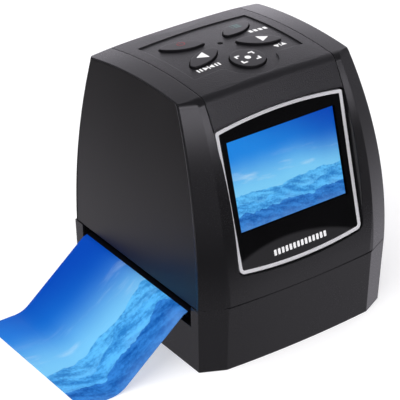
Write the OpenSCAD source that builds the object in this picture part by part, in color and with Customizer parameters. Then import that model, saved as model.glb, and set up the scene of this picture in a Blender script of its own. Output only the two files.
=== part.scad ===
/* [Body] */
// Width of the body across its sides at the seam
body_w = 87; // [84:0.5:92]
// Height of the crown of the top above the surface it stands on
body_h = 103; // [101:0.5:106]
// Distance from the middle to the bowed front face at the seam
front_reach = 43.2; // [42.4:0.2:46]
// Distance from the middle to the back face at its fullest
back_reach = 43.9; // [43.5:0.1:47]
// Height of the seam between the base and the upper case
seam_z = 27.1; // [26.5:0.1:28.5]
// Thickness of the moulded walls
wall = 2.4; // [2.2:0.1:2.7]
// Thickness of the floor of the base
floor_t = 2; // [1.8:0.1:2.4]
// Width of the parting gaps between visible mouldings
part_gap = 0.3; // [0.2:0.05:0.4]

/* [Curves of the body] */
// Radius of the front, seen from the side
front_r = 136; // [130:1:150]
// Radius of the slanted front corners, seen along them
corner_r = 140; // [134:1:150]
// Angle by which the front corners slant back
corner_angle = 25; // [22:1:28]
// Distance from the middle to the slanted corner faces at the seam
corner_reach = 52.1; // [51.6:0.1:53]
// How much the soft edge between front and corner is cut back
corner_ease = 0.3; // [0.2:0.05:0.5]
// Radius of the sides, seen from the front
side_r = 505; // [450:5:700]
// Radius of the top, seen from the side
top_r = 185; // [180:5:230]
// Where along the body the top is highest
top_mid_y = -3; // [-5:0.5:0]
// Radius of the back, seen from the side
back_r = 350; // [320:10:600]
// Height at which the back is fullest
back_full_z = 42; // [38:1:46]
// Radius by which the front bows out from side to side
bow_r = 450; // [420:10:700]
// Radius by which the back bows out from side to side
back_bow_r = 450; // [420:10:700]
// Radius by which the top crowns from side to side
crown_r = 330; // [320:10:700]
// Radius of the edge between front and top
crease_r = 4.5; // [3.5:0.5:5]
// Radius of the edge between back and top
back_edge_r = 6; // [4:0.5:7]
// Radius of the upright edges at the back
back_corner_r = 1.8; // [1.2:0.1:2.8]
// Lean of the front and back of the base, in degrees
base_lean = 1.5; // [1:0.1:2]
// Lean of the sides of the base, in degrees
base_side_lean = 2.2; // [1.5:0.1:2.6]

/* [Film channel] */
// Distance from the front face to the slots in the sides
slot_front_in = 10.5; // [10.2:0.1:10.8]
// Distance from the back face to the slots in the sides
slot_back_in = 7.4; // [7.1:0.1:7.7]
// Height of the slots, up to the seam
slot_h = 9; // [8.6:0.1:9.4]
// Thickness of the deck under the channel
deck_t = 2; // [1.8:0.1:2.4]
// Thickness of the gate plate over the channel
gate_t = 2; // [1.8:0.1:2.4]
// Length of the scanned frame, across the body
frame_l = 38; // [36:1:40]
// Width of the scanned frame, along the body
frame_w = 27; // [25:1:28]
// Distance from the sides to the ends of the tray that carries the film
tray_in = 5; // [4:0.5:6.5]
// Height of the film above the floor of the slots
film_rise = 5.9; // [5.5:0.1:6.1]

/* [Film sheet] */
// Thickness of the sheet
sheet_t = 0.4; // [0.3:0.05:0.6]
// Distance from the front end of the slots to the sheet
sheet_front_gap = 1.4; // [1.3:0.1:1.5]
// Distance from the back end of the slots to the sheet
sheet_back_gap = 3.4; // [3.2:0.1:4]
// Distance from the right side of the body to the inner end of the sheet
sheet_inner_in = 13.5; // [10:0.5:18]
// How far inside the left side the sheet starts to bend down
sheet_bend_in = 0.7; // [0:0.1:1.5]
// Slope of the sheet outside the body, in degrees
sheet_slope = 40; // [36:1:46]
// Radius of its bend at the body
sheet_bend_r = 6; // [5:0.5:12]
// Radius of its bend at the table
sheet_foot_r = 10; // [6:1:16]
// Length that lies flat on the table
sheet_flat_l = 12.2; // [4:0.2:16]

/* [Window and display] */
// How much more upright the window stands than the front behind it, in degrees
window_upright = 0.95; // [0:0.05:2]
// Depth of the middle of the window below the top of the body
window_drop = 33.82; // [33.2:0.1:34.4]
// How far the middle of the window lies behind the bulge of the front
window_sunk = 4.37; // [4:0.1:4.8]
// Half width of the silver frame at its top
bezel_top_half = 28.6; // [28.3:0.1:28.8]
// Half width of the silver frame at its foot
bezel_low_half = 28; // [27.6:0.1:28.4]
// Height of the corners of the frame above the middle of the window
bezel_top_v = 21.7; // [21.4:0.1:22.4]
// Depth of its lower corners below the middle of the window
bezel_low_v = 31.4; // [31:0.1:31.8]
// Rise of its arched top edge
bezel_arch = 2.3; // [1.5:0.1:3]
// Fall of its bowed lower edge
bezel_sag = 2.2; // [1.6:0.1:2.6]
// Radius of its lower corners
bezel_low_r = 2.4; // [1.8:0.1:3]
// Radius of its upper corners
bezel_top_r = 1; // [0.6:0.1:1.6]
// Width of the silver frame, face on
bezel_w = 1.3; // [1:0.1:1.6]
// Depth of the silver frame and its seat
bezel_t = 1.6; // [1.4:0.1:2]
// Shadow gap around the silver frame
window_gap = 0.8; // [0.5:0.1:1]
// Wall around the window pocket
pocket_wall = 1.8; // [1.4:0.1:2]
// Width of the display's picture
picture_w = 48.96; // [46:0.1:49.5]
// Height of the display's picture that shows
picture_h = 34; // [33:0.1:35]

/* [Keypad] */
// Half width of the top fascia between its side seams
fascia_half = 29.3; // [29:0.1:29.6]
// How far the fascia reaches down the back
fascia_back_drop = 17; // [13:1:21]
// Depth of the keypad recess
recess_d = 0.5; // [0.3:0.1:0.8]
// Half width of the keypad recess
recess_half = 24.5; // [23.5:0.5:25.5]
// Back edge of the keypad recess
recess_back_y = 27; // [26:0.5:28]
// Front edge of the keypad recess beside the scan key
recess_front_y = -8; // [-9:0.5:-7]
// Radius of the recess around the scan key
recess_ring_r = 11.4; // [10.5:0.1:11.8]
// Radius of the bends where the recess widens around the scan key
recess_blend_r = 2; // [1:0.5:3]
// Half length of the leaf-shaped keys
key_half_l = 8.2; // [7.6:0.1:8.4]
// Half width of the leaf-shaped keys
key_half_w = 3.6; // [3.2:0.1:3.8]
// Radius of their tips
key_tip_r = 1.4; // [1:0.1:1.6]
// Turn of the leaf-shaped keys, in degrees
key_turn = 25; // [15:1:30]
// Distance of the leaf-shaped keys from the middle line
key_x = 12.4; // [12:0.1:12.8]
// Place of the back pair of keys
back_key_y = 16.4; // [16:0.2:17]
// Place of the front pair of keys
front_key_y = 3; // [2.6:0.2:3.4]
// Place of the round scan key
scan_key_y = -6.8; // [-7.2:0.1:-6.6]
// Radius of the round scan key
scan_key_r = 6.5; // [5.5:0.1:6.6]
// Height of the keys over the surface around the recess
key_proud = 0.35; // [0.2:0.05:0.6]
// Clearance of the keys in their holes
key_gap = 0.4; // [0.3:0.05:0.5]
// Travel of the keys
key_travel = 0.6; // [0.3:0.1:0.8]
// Place of the status light
light_y = 9.6; // [9.4:0.1:9.8]
// Diameter of the status light
light_d = 2.1; // [1.6:0.1:2.4]

/* [Side panels] */
// Border of the upper case in front of the side panels
panel_front_border = 1.2; // [0.8:0.1:1.6]
// Border over the side panels
panel_top_border = 0.6; // [0.5:0.1:1]
// Border behind the side panels
panel_back_border = 1; // [0.9:0.1:1.4]
// How deep the side panels lie below the border
panel_sunk = 0.25; // [0.1:0.05:0.4]
// Thickness of the recess that takes a side panel
panel_seat = 1.4; // [1.2:0.1:1.5]

/* [Inside] */
// Thickness of the circuit boards
board_t = 1.2; // [1:0.1:1.6]
// Height of the top of the light hood above the gate plate
hood_h = 21; // [19:1:23]
// Wall of the light hood
hood_wall = 1.6; // [1.4:0.1:2]
// Diameter of the lens barrel
barrel_d = 12; // [10:0.5:13]
// Diameter of the screws
screw_d = 2; // [1.8:0.1:2.2]
// Depth of the underside of the key board below the top of the body
key_board_drop = 10.2; // [9.8:0.1:11]

/* [Hidden] */
$fn = 96;
arc_fn = 360;
sides = [-1, 1];

// Reach of solids that only cut or bound others
far = 260;
reach = 140;
through = 20;
over = 5;
// Overlap that joins two shapes of one solid
join = 0.02;
// Running clearance of pins in bores
pin_gap = 0.025;
slip = 0.1;
// Height of the loose end of the sheet above the table
table_gap = 0.2;

slot_front_y = slot_front_in - front_reach;
slot_back_y = back_reach - slot_back_in;
slot_floor_z = seam_z - slot_h;
channel_mid_y = (slot_front_y + slot_back_y) / 2;
film_z = slot_floor_z + film_rise;
seam_gap = 0.2;
base_top = seam_z - seam_gap;
gate_z = base_top;
gate_top = gate_z + gate_t;
key_board_z = body_h - key_board_drop;

// Crossing of two circles, on the left of the way from the first centre to the second
function meet(c1, r1, c2, r2) =
  let (d = norm(c2 - c1))
  let (along = (d * d + r1 * r1 - r2 * r2) / (2 * d))
  let (aside = sqrt(r1 * r1 - along * along))
  let (u = (c2 - c1) / d)
  c1 + along * u + aside * [-u[1], u[0]];

// Overlap of two discs, with the corner where their edges meet rounded
module rounded_lens(c1, r1, c2, r2, round_r) {
  c = meet(c1, r1 - round_r, c2, r2 - round_r);
  tip = meet(c1, r1, c2, r2);
  t1 = c1 + r1 * (c - c1) / norm(c - c1);
  t2 = c2 + r2 * (c - c2) / norm(c - c2);
  difference() {
    intersection() {
      translate(c1) circle(r = r1, $fn = arc_fn);
      translate(c2) circle(r = r2, $fn = arc_fn);
    }
    polygon([c, t1, c + (tip - c) * 1.5, t2]);
  }
  translate(c) circle(r = round_r + join);
}

module above(z) translate([-far / 2, z]) square(far);

// How much lower than the seam the solids reach that bound the upper body
below_seam = 20;

// Profile of the middle of the body: bulging front, rounded crease, arched top
top_c = [top_mid_y, body_h - top_r];
front_c = [front_r - front_reach, seam_z];
least_round = 1;

module centre_profile(d) intersection() {
  rounded_lens(top_c, top_r - d, front_c, front_r - d, max(crease_r - d, least_round));
  above(seam_z - below_seam);
}

// Profiles across the other faces end in a nearly straight line that clears the top
line_r = 2000;
corner_line_in = 11.6;
corner_line_drop = 2.2;
corner_line = [corner_line_in - front_reach, body_h - corner_line_drop];
corner_rise = 8;
back_line_in = 7.9;
back_line_drop = 4.4;
back_line = [back_reach - back_line_in, body_h - back_line_drop];
back_fall = 14;

module corner_profile(d, out) intersection() {
  rounded_lens(
    corner_line + line_r * [sin(corner_rise), -cos(corner_rise)], line_r - d,
    [corner_r - out, seam_z], corner_r - d, max(crease_r - d, least_round)
  );
  above(seam_z - below_seam);
}

module back_profile(d) intersection() {
  rounded_lens(
    [back_reach - back_r, back_full_z], back_r - d,
    back_line - line_r * [sin(back_fall), cos(back_fall)], line_r - d,
    max(back_edge_r - d, least_round)
  );
  above(seam_z - below_seam);
}

module side_profile(d, low) intersection() {
  intersection_for (side = sides) {
    translate([side * (side_r - body_w / 2), seam_z]) circle(r = side_r - d, $fn = arc_fn);
  }
  translate([-far / 2, low]) square([far, body_h]);
}

module along_x(turn = 0)
  rotate([0, 0, turn]) rotate([90, 0, 90]) linear_extrude(reach, center = true) children();

module along_y() rotate([90, 0, 0]) linear_extrude(reach, center = true) children();

// A side profile swept round a far, upright axis, so that the back bows
back_sweep = 20;
module bowed_back() translate([0, back_reach - back_bow_r, 0])
  rotate([0, 0, 90 - back_sweep / 2]) rotate_extrude(angle = back_sweep, $fn = 720)
    translate([back_bow_r - back_reach, 0]) intersection() {
      children();
      translate([-reach / 2, 0]) square(reach);
    }

// A side profile swept round a far, slanting axis, so that front and top both bow
bend_angle = atan(bow_r / crown_r);
bend_r = bow_r * cos(bend_angle);
bend_mid_in = 22;
bend_mid_drop = 21;
bend_mid = [-bend_mid_in, body_h - bend_mid_drop];
bend_c = bend_mid + bend_r * [cos(bend_angle), -sin(bend_angle)];
bend_sweep = 30;

module bent()
  translate([0, bend_c[0], bend_c[1]]) rotate([-bend_angle, 0, 0])
    rotate([0, 0, -90 - bend_sweep / 2]) rotate_extrude(angle = bend_sweep, $fn = 720)
      mirror([1, 0]) rotate(bend_angle) translate(-bend_c) intersection() {
        children();
        translate([-reach / 2, 0]) square(reach);
      }

module crown(d) bent() centre_profile(d);

// Height of the top over a place on it
function top_at(x, y) = body_h - pow(x, 2) / (2 * crown_r) - pow(y - top_mid_y, 2) / (2 * top_r);

// Distance to the facet that eases the edge between front and slanted corner
edge_fall = 1.2;
function ease_reach(out, turn) =
  let (x = (corner_reach - out * cos(corner_angle)) / sin(corner_angle))
  x * sin(turn) + out * cos(turn) - corner_ease;

// The slanted front corners, and the facets that ease their front edges
module front_corners(d) intersection_for (turn = sides * corner_angle) {
  along_x(turn) corner_profile(d, corner_reach);
}

module eased_corners() intersection_for (turn = sides * corner_angle / 2) {
  along_x(turn) corner_profile(0, ease_reach(front_reach - edge_fall, corner_angle / 2));
}

// Facets on the upright edges at the back, which lean in as the side and the back do
back_facet_k = (1 / side_r + 1 / back_r) * sqrt(0.5);
back_facet_z = (seam_z / side_r + back_full_z / back_r) * sqrt(0.5) / back_facet_k;
back_edge_y = back_reach - pow(body_w, 2) / (8 * back_bow_r);
back_facet_reach = (body_w / 2 + back_edge_y - 2 * back_corner_r) * sqrt(0.5) + back_corner_r
  - (pow(back_facet_z - seam_z, 2) / side_r + pow(back_facet_z - back_full_z, 2) / back_r) * sqrt(0.125);

module back_corners() intersection_for (turn = sides * 135) {
  along_x(turn) intersection() {
    translate([1 / back_facet_k - back_facet_reach, back_facet_z])
      circle(r = 1 / back_facet_k, $fn = arc_fn);
    above(seam_z - below_seam);
  }
}

// Outer shape of the upper body, moved in by d and cut off at low
module plain_form(d, low = seam_z) intersection() {
  crown(d);
  front_corners(d);
  along_y() side_profile(d, low);
  bowed_back() back_profile(d);
}

module outer_form() intersection() {
  plain_form(0);
  eased_corners();
  back_corners();
}

// Part of the base form behind one leaning face
module behind_face(turn, out, lean)
  rotate([0, 0, turn]) translate([0, -out, seam_z]) rotate([lean, 0, 0])
    translate([-reach / 2, 0, -reach / 2]) cube(reach);

// Part of the base form behind a leaning face that bows by r
module behind_bow(turn, out, r, d)
  rotate([0, 0, turn]) translate([0, r - out, seam_z]) rotate([base_lean, 0, 0])
    cylinder(r = r * cos(base_lean) - d, h = reach, center = true, $fn = 720);

base_back_in = 0.3;

module base_form(d) intersection() {
  behind_bow(0, front_reach, bow_r, d);
  behind_bow(180, back_reach - base_back_in, back_bow_r, d);
  intersection_for (turn = sides * corner_angle) {
    behind_face(turn, corner_reach - d, base_lean);
  }
  intersection_for (turn = sides * 90) {
    behind_face(turn, body_w / 2 - d, base_side_lean);
  }
}

module slab(z0, z1) translate([-far / 2, -far / 2, z0]) cube([far, far, z1 - z0]);

module box(x0, x1, y0, y1, z0, z1) translate([x0, y0, z0]) cube([x1 - x0, y1 - y0, z1 - z0]);

// A block of a size, its foot at z and its middle over a place
module block(mid, size, z) translate([mid[0] - size[0] / 2, mid[1] - size[1] / 2, z]) cube(size);

module post(x, y, d, z0, z1) translate([x, y, z0]) cylinder(d = d, h = z1 - z0, $fn = 48);

// Place of the bulging front at a height
function front_at(z) = front_r - front_reach - sqrt(pow(front_r, 2) - pow(z - seam_z, 2));

// Frame of the window: x across, y up its slope, z out of it
window_z = body_h - window_drop;
window_tilt = asin((window_z - seam_z) / front_r) - window_upright;
window_mid = [0, front_at(window_z) + window_sunk, window_z];
module in_window() translate(window_mid) rotate([90 - window_tilt, 0, 0]) children();

module window_slab(z0, z1) in_window() translate([0, 0, z0]) linear_extrude(z1 - z0) children();

// Centre of a rounding between the line from p to q, with the inside on its side, and a circle about c
function round_mid(p, q, side, round_r, c, r) =
  let (u = (q - p) / norm(q - p))
  let (start = p + side * round_r * [u[1], -u[0]] - c)
  let (along = sqrt(pow(start * u, 2) - start * start + pow(r - round_r, 2)) - start * u)
  start + c + along * u;

// Corner that a rounding about mid leaves out, between a line facing u and a circle about c
module corner_cut(mid, tip, round_r, u, c)
  polygon([mid, mid + round_r * u, mid + 2 * (tip - mid), mid + round_r * (mid - c) / norm(mid - c)]);

// Outline of the silver frame, grown by g
module window_outline(g) {
  top = [bezel_top_half + g, bezel_top_v + g];
  low = [bezel_low_half + g, -bezel_low_v - g];
  up = (top - low) / norm(top - low);
  out = [up[1], -up[0]];
  arch_r = (pow(bezel_top_half, 2) + pow(bezel_arch, 2)) / (2 * bezel_arch) + g;
  sag_r = (pow(bezel_low_half, 2) + pow(bezel_sag, 2)) / (2 * bezel_sag) + g;
  arch_mid = [0, bezel_top_v + bezel_arch - arch_r + g];
  sag_mid = [0, sag_r - g - bezel_low_v - bezel_sag];
  top_round = max(bezel_top_r + g, least_round / 2);
  low_round = max(bezel_low_r + g, least_round / 2);
  top_c = round_mid(low, top, -1, top_round, arch_mid, arch_r);
  low_c = round_mid(top, low, 1, low_round, sag_mid, sag_r);
  high = top + up * through;
  deep = low - up * through;
  difference() {
    intersection() {
      polygon([[-deep[0], deep[1]], deep, high, [-high[0], high[1]]]);
      translate(arch_mid) circle(r = arch_r, $fn = arc_fn);
      translate(sag_mid) circle(r = sag_r, $fn = arc_fn);
    }
    for (flip = [0, 1]) mirror([flip, 0]) {
      corner_cut(top_c, top, top_round, out, arch_mid);
      corner_cut(low_c, low, low_round, out, sag_mid);
    }
  }
  for (side = sides) {
    translate([side * top_c[0], top_c[1]]) circle(r = top_round + join, $fn = 48);
    translate([side * low_c[0], low_c[1]]) circle(r = low_round + join, $fn = 48);
  }
}

picture_low_v = -17.2;
glass_side = 0.9;
glass_low = 2.1;
glass_top = 0.4;
glass_half_w = picture_w / 2 + glass_side;
glass_low_v = picture_low_v - glass_low;
glass_top_v = picture_low_v + picture_h + glass_top;
aperture_gap = 0.2;
seat_t = 1.8;
seat_back = -bezel_t - seat_t;
housing_out = 14;

module glass_outline(g)
  translate([-glass_half_w - g, glass_low_v - g])
    square([2 * (glass_half_w + g), glass_top_v - glass_low_v + 2 * g]);

module window_pocket() {
  window_slab(-bezel_t, housing_out) window_outline(window_gap);
  window_slab(seat_back - over, 0) glass_outline(aperture_gap);
}

// Posts of the case screws at the front and at the back: places and diameters
front_post_x = 26;
front_post_out = 3.9;
front_post_d = 6;
back_post_x = 30;
back_post_out = 2.4;
back_post_d = 5;
front_post = [front_post_x, slot_front_y - front_post_out, front_post_d];
back_post = [back_post_x, slot_back_y + back_post_out, back_post_d];
case_posts = [for (p = [front_post, back_post], side = sides) [side * p[0], p[1], p[2]]];
case_head_d = 4;
case_head_t = 1.6;
case_head_z = 19;
case_post_top = 37;
screw_room = 0.4;
head_room = 0.6;
thread_d = screw_d + 2 * pin_gap;
hole_d = screw_d + screw_room;
board_post_d = 5;
board_post_in = 11.5;
board_post_front_in = 12.7;
board_post_back_in = 4.5;
board_post_x = body_w / 2 - board_post_in;
board_post_y = [slot_front_y + board_post_front_in, slot_back_y - board_post_back_in];
board_posts = [for (x = sides * board_post_x, y = board_post_y) [x, y]];
key_board_half_w = 24.4;
key_board_front_y = -11.5;
key_board_back_y = 28.8;
key_post_front_in = [4.4, 3.3];
key_post_back_in = 2.8;
key_board_posts = concat(
  [for (x = sides * (key_board_half_w - key_post_front_in[0]))
    [x, key_board_front_y + key_post_front_in[1]]],
  [for (x = sides * (key_board_half_w - key_post_back_in)) [x, key_board_back_y - key_post_back_in]]
);
foot_in = 10.5;
foot_front_in = 18.2;
foot_back_in = 13.9;
foot_x = body_w / 2 - foot_in;
feet = [for (x = sides * foot_x, y = [foot_front_in - front_reach, back_reach - foot_back_in]) [x, y]];
foot_d = 9;
foot_t = 0.9;
foot_room = 0.2;

module lower_case() color("dimgray") {
  difference() {
    union() {
      difference() {
        intersection() {
          base_form(0);
          slab(0, base_top);
        }
        intersection() {
          base_form(wall);
          slab(floor_t, seam_z + through);
        }
      }
      channel_walls();
      base_lip();
      intersection() {
        base_form(wall / 2);
        for (p = case_posts) {
          post(p[0], p[1], p[2], join, base_top);
        }
      }
      for (x = sides * light_stand_x, y = sides * light_stand_y) {
        post(x, channel_mid_y + y, light_stand_d, floor_t - join, light_board_z);
      }
    }
    box(-reach, reach, slot_front_y, slot_back_y, slot_floor_z, seam_z + through);
    for (p = case_posts) {
      post(p[0], p[1], case_head_d + head_room, -over, case_head_z);
      post(p[0], p[1], hole_d, case_head_z - over, seam_z + over);
    }
    for (p = feet) {
      post(p[0], p[1], foot_d + foot_room, -over, foot_t);
    }
  }
}

channel_wall_t = 1.2;
deck_z = slot_floor_z - deck_t;
ledge_w = 1.8;
ledge_t = 1.8;

// Upright walls that close the front and back of the film channel, with ledges for the deck
module channel_walls() intersection() {
  base_form(wall / 2);
  union() {
    box(-reach, reach, slot_front_y - channel_wall_t, slot_front_y, join, base_top);
    box(-reach, reach, slot_back_y, slot_back_y + channel_wall_t, join, base_top);
    box(-reach, reach, slot_front_y - join, slot_front_y + ledge_w, deck_z - ledge_t, deck_z);
    box(-reach, reach, slot_back_y - ledge_w, slot_back_y + join, deck_z - ledge_t, deck_z);
  }
}

lip_h = 1.3;
lip_t = 1;
lip_half_l = 20;
lip_in = wall + 0.3;
lip_root = 2;

// Lips that stand up inside the upper case at front and back, on roots in the wall
module base_lip() intersection() {
  difference() {
    union() {
      intersection() {
        base_form(lip_in);
        slab(base_top - lip_root, base_top + lip_h);
      }
      intersection() {
        base_form(wall - join);
        slab(base_top - 2 * lip_root, base_top);
      }
    }
    base_form(lip_in + lip_t);
  }
  union() {
    box(-lip_half_l, lip_half_l, -reach, slot_front_y - 2 * channel_wall_t, 0, body_h);
    box(-lip_half_l, lip_half_l, slot_back_y + 2 * channel_wall_t, reach, 0, body_h);
  }
}

fascia_flange_t = 1.6;
fascia_flange_w = 2.3;

// The fascia ends inside the window pocket at the front
fascia_front_rise = 12.8;
fascia_front_z = window_z + fascia_front_rise;
fascia_back_z = body_h - fascia_back_drop;

// Seen from the side, everything that the fascia covers
module fascia_span(gap)
  polygon([
    [-reach, fascia_front_z - gap], [0, fascia_front_z - gap], [0, fascia_back_z - gap],
    [reach, fascia_back_z - gap], [reach, body_h + through], [-reach, body_h + through]
  ]);

module fascia_zone(half, gap) rotate([90, 0, 90])
  linear_extrude(2 * half, center = true) fascia_span(gap);

module upper_shell() difference() {
  outer_form();
  difference() {
    plain_form(wall, seam_z - over);
    fascia_zone(fascia_half + fascia_flange_w, fascia_flange_w);
  }
  difference() {
    plain_form(wall + fascia_flange_t, seam_z - 2 * over);
    slab(0, (seam_z + fascia_front_z) / 2);
  }
  fascia_zone(fascia_half - fascia_flange_w, -fascia_flange_w);
}

module window_housing() intersection() {
  window_slab(seat_back, housing_out) window_outline(window_gap + pocket_wall);
  plain_form(wall / 2, seam_z + over);
}

module upper_posts() intersection() {
  for (p = case_posts) {
    post(p[0], p[1], p[2], gate_top, case_post_top);
  }
  plain_form(wall / 2);
}

// Sockets at the back edge of the main board
usb_x = -22;
usb_w = 7.7;
usb_h = 3.9;
usb_l = 9.2;
usb_in = 1.7;
usb_back_y = back_reach - usb_in;
card_x = 12;
card_w = 26;
card_h = 3;
card_in = 3.5;
card_rim = 1;
card_back_y = back_reach - card_in;
sheet_metal_t = 0.4;
board_lift = 4.1;
board_z = gate_top + board_lift;
board_top = board_z + board_t;
port_gap = 0.4;
card_slit = [0.3, 2.9];

module ports() {
  box(usb_x - usb_w / 2 - port_gap, usb_x + usb_w / 2 + port_gap, slot_back_y, reach,
    board_top - port_gap, board_top + usb_h + port_gap);
  box(card_x - card_w / 2 + card_rim, card_x + card_w / 2 - card_rim, slot_back_y, reach,
    board_top + card_slit[0], board_top + card_slit[1]);
}

// Everything beside the body inside the borders of the side panels, moved in by g
module panel_span(g) intersection() {
  crown(panel_top_border + g);
  front_corners(panel_front_border + g);
  bowed_back() back_profile(panel_back_border + g);
}

module panel_recess() difference() {
  intersection() {
    panel_span(0);
    along_y() side_profile(-1, seam_z - over);
  }
  along_y() side_profile(panel_seat, seam_z - 2 * over);
}

// Openings in the side walls behind the panels
side_opening = [-18, 28];
side_opening_drop = 17;
side_opening_z = [38, body_h - side_opening_drop];

module upper_case() color("#2b2b2d") difference() {
  union() {
    upper_shell();
    window_housing();
    upper_posts();
  }
  difference() {
    fascia_zone(fascia_half + part_gap / 2, part_gap);
    plain_form(wall, seam_z - over);
  }
  window_pocket();
  panel_recess();
  box(-reach, reach, side_opening[0], side_opening[1], side_opening_z[0], side_opening_z[1]);
  ports();
  for (p = case_posts) {
    post(p[0], p[1], thread_d, 0, case_post_top - 1);
  }
}

panel_fit = 0.05;
module side_panel(side) color("#262628") difference() {
  intersection() {
    panel_span(part_gap);
    along_y() side_profile(panel_sunk, seam_z);
  }
  along_y() side_profile(panel_seat - panel_fit, seam_z - over);
  translate([-side * far / 2, 0, 0]) cube([far, far, far], center = true);
}
module side_panel_left() side_panel(-1);
module side_panel_right() side_panel(1);

// Leaf with rounded tips, grown by g
module leaf(g = 0) {
  half_l = key_half_l + g;
  half_w = key_half_w + g;
  tip_r = key_tip_r + g;
  reach = half_l - tip_r;
  arc_r = (pow(reach, 2) + pow(half_w, 2) - pow(tip_r, 2)) / (2 * (half_w - tip_r));
  touch_x = reach * arc_r / (arc_r - tip_r);
  intersection() {
    translate([0, half_w - arc_r]) circle(r = arc_r, $fn = arc_fn);
    translate([0, arc_r - half_w]) circle(r = arc_r, $fn = arc_fn);
    square([2 * touch_x, 4 * half_w], center = true);
  }
  for (side = sides) {
    translate([side * reach, 0]) circle(r = tip_r + join, $fn = 48);
  }
}

key_places = [
  [-key_x, back_key_y, -key_turn], [key_x, back_key_y, key_turn],
  [-key_x, front_key_y, key_turn], [key_x, front_key_y, -key_turn]
];
flange_w = 0.9;
flange_t = 1.5;
flange_gap = 0.15;
stem_d = 3.2;
switch_w = 4.5;
switch_body_h = 1.6;
plunger_d = 2;
plunger_h = 0.4;
key_board_top = key_board_z + board_t;
switch_top = key_board_top + switch_body_h + plunger_h;
stem_low = switch_top + key_travel + flange_gap;
top_over = body_h + over;

// A key: cap through the fascia, flange under it and stem over its switch
module key(place) {
  flange_low = top_at(place[0], place[1]) - wall - flange_t - 2 * flange_gap;
  translate([place[0], place[1], 0]) cylinder_stem(flange_low);
  intersection() {
    key_column(place, flange_low, top_over) children(0);
    crown(-key_proud);
  }
  intersection() {
    key_column(place, flange_low, top_over) children(1);
    crown(wall + flange_gap);
  }
}

module cylinder_stem(flange_low)
  translate([0, 0, stem_low]) cylinder(d = stem_d, h = flange_low - stem_low + join, $fn = 48);

module key_column(place, z0, z1)
  translate([place[0], place[1], z0]) rotate([0, 0, place[2]]) linear_extrude(z1 - z0) children();

module leaf_key(place) key(place) {
  leaf();
  leaf(flange_w);
}

module power_key() color("#39393b") leaf_key(key_places[0]);
module menu_key() color("#39393b") leaf_key(key_places[1]);
module left_key() color("#39393b") leaf_key(key_places[2]);
module right_key() color("#39393b") leaf_key(key_places[3]);
module scan_key() color("#39393b") key([0, scan_key_y, 0]) {
  circle(r = scan_key_r);
  circle(r = scan_key_r + flange_w);
}

module recess_outline() {
  translate([-recess_half, recess_front_y]) square([2 * recess_half, recess_back_y - recess_front_y]);
  translate([0, scan_key_y]) circle(r = recess_ring_r);
  recess_blend();
}

// Bends between the front edge of the recess and its ring
module recess_blend() {
  fall = recess_front_y - recess_blend_r - scan_key_y;
  out = sqrt(pow(recess_ring_r + recess_blend_r, 2) - pow(fall, 2));
  share = (recess_ring_r - join) / (recess_ring_r + recess_blend_r);
  for (side = sides) difference() {
    polygon([
      [side * out, recess_front_y - recess_blend_r], [side * out, recess_front_y + join],
      [0, recess_front_y + join], side * share * [out, 0] + [0, scan_key_y + share * fall]
    ]);
    translate([side * out, recess_front_y - recess_blend_r]) circle(r = recess_blend_r - join, $fn = 48);
  }
}

light_hole_d = light_d + 2 * pin_gap;
key_board_post_d = 5;

module top_fascia() color("#3a3a3c") difference() {
  union() {
    difference() {
      intersection() {
        outer_form();
        fascia_zone(fascia_half - part_gap / 2, 0);
      }
      plain_form(wall, seam_z - over);
    }
    intersection() {
      crown(wall / 2);
      for (p = key_board_posts) {
        post(p[0], p[1], key_board_post_d, key_board_top, body_h);
      }
    }
  }
  window_pocket();
  difference() {
    key_column([0, 0, 0], key_board_z, top_over) recess_outline();
    crown(recess_d);
  }
  for (place = key_places) {
    key_column(place, key_board_z, top_over) leaf(key_gap);
  }
  post(0, scan_key_y, 2 * (scan_key_r + key_gap), key_board_z, top_over);
  post(0, light_y, light_hole_d, key_board_z, top_over);
  for (p = key_board_posts) {
    post(p[0], p[1], thread_d, key_board_z, key_screw_tip + screw_stop);
  }
}

module window_bezel() color("silver") window_slab(-bezel_t, 0) difference() {
  window_outline(0);
  window_outline(-bezel_w);
}

lens_sunk = 0.2;
module window_lens() color("#101012")
  window_slab(-bezel_t, -lens_sunk) window_outline(-bezel_w - 0.05);

module display_panel() color("royalblue")
  window_slab(seat_back, -bezel_t - 0.05) glass_outline(0);

// The holder behind the display
holder_t = 4;
holder_side = 2.1;
module display_frame() color("lightgray")
  window_slab(seat_back - holder_t, seat_back) glass_outline(holder_side);

// A light pipe with a foot
pipe_low = key_board_top + 1;
pipe_foot_t = 1;
pipe_foot_d = light_d + 1.5;
module status_light() color("#d8d8d0") intersection() {
  union() {
    post(0, light_y, light_d, pipe_low, top_over);
    post(0, light_y, pipe_foot_d, pipe_low, pipe_low + pipe_foot_t);
  }
  crown(recess_d);
}

key_screw_bite = 4.5;
key_screw_tip = key_board_top + key_screw_bite;
screw_head_d = 3.6;
screw_head_t = 1.3;
screw_stop = 0.5;

module key_board() color("darkgreen") difference() {
  box(-key_board_half_w, key_board_half_w, key_board_front_y, key_board_back_y, key_board_z, key_board_top);
  for (p = key_board_posts) {
    post(p[0], p[1], hole_d, 0, body_h);
  }
}

light_chip = [1.6, 1, 0.8];
module key_switches() color("#202020") {
  for (place = concat(key_places, [[0, scan_key_y, 0]])) {
    block([place[0], place[1]], [switch_w, switch_w, switch_body_h], key_board_top);
    post(place[0], place[1], plunger_d, key_board_top, switch_top);
  }
  block([0, light_y], light_chip, key_board_top);
}

// A pan-head screw that points up, its head's seat at z
module screw_up(x, y, z, tip) {
  post(x, y, screw_head_d, z - screw_head_t, z);
  post(x, y, screw_d, z - join, tip);
}

// A pan-head screw that points down, its head's seat at z
module screw_down(x, y, z, tip) {
  post(x, y, screw_head_d, z, z + screw_head_t);
  post(x, y, screw_d, tip, z + join);
}

module key_board_screws() color("silver") for (p = key_board_posts) {
  screw_up(p[0], p[1], key_board_z, key_screw_tip);
}

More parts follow.
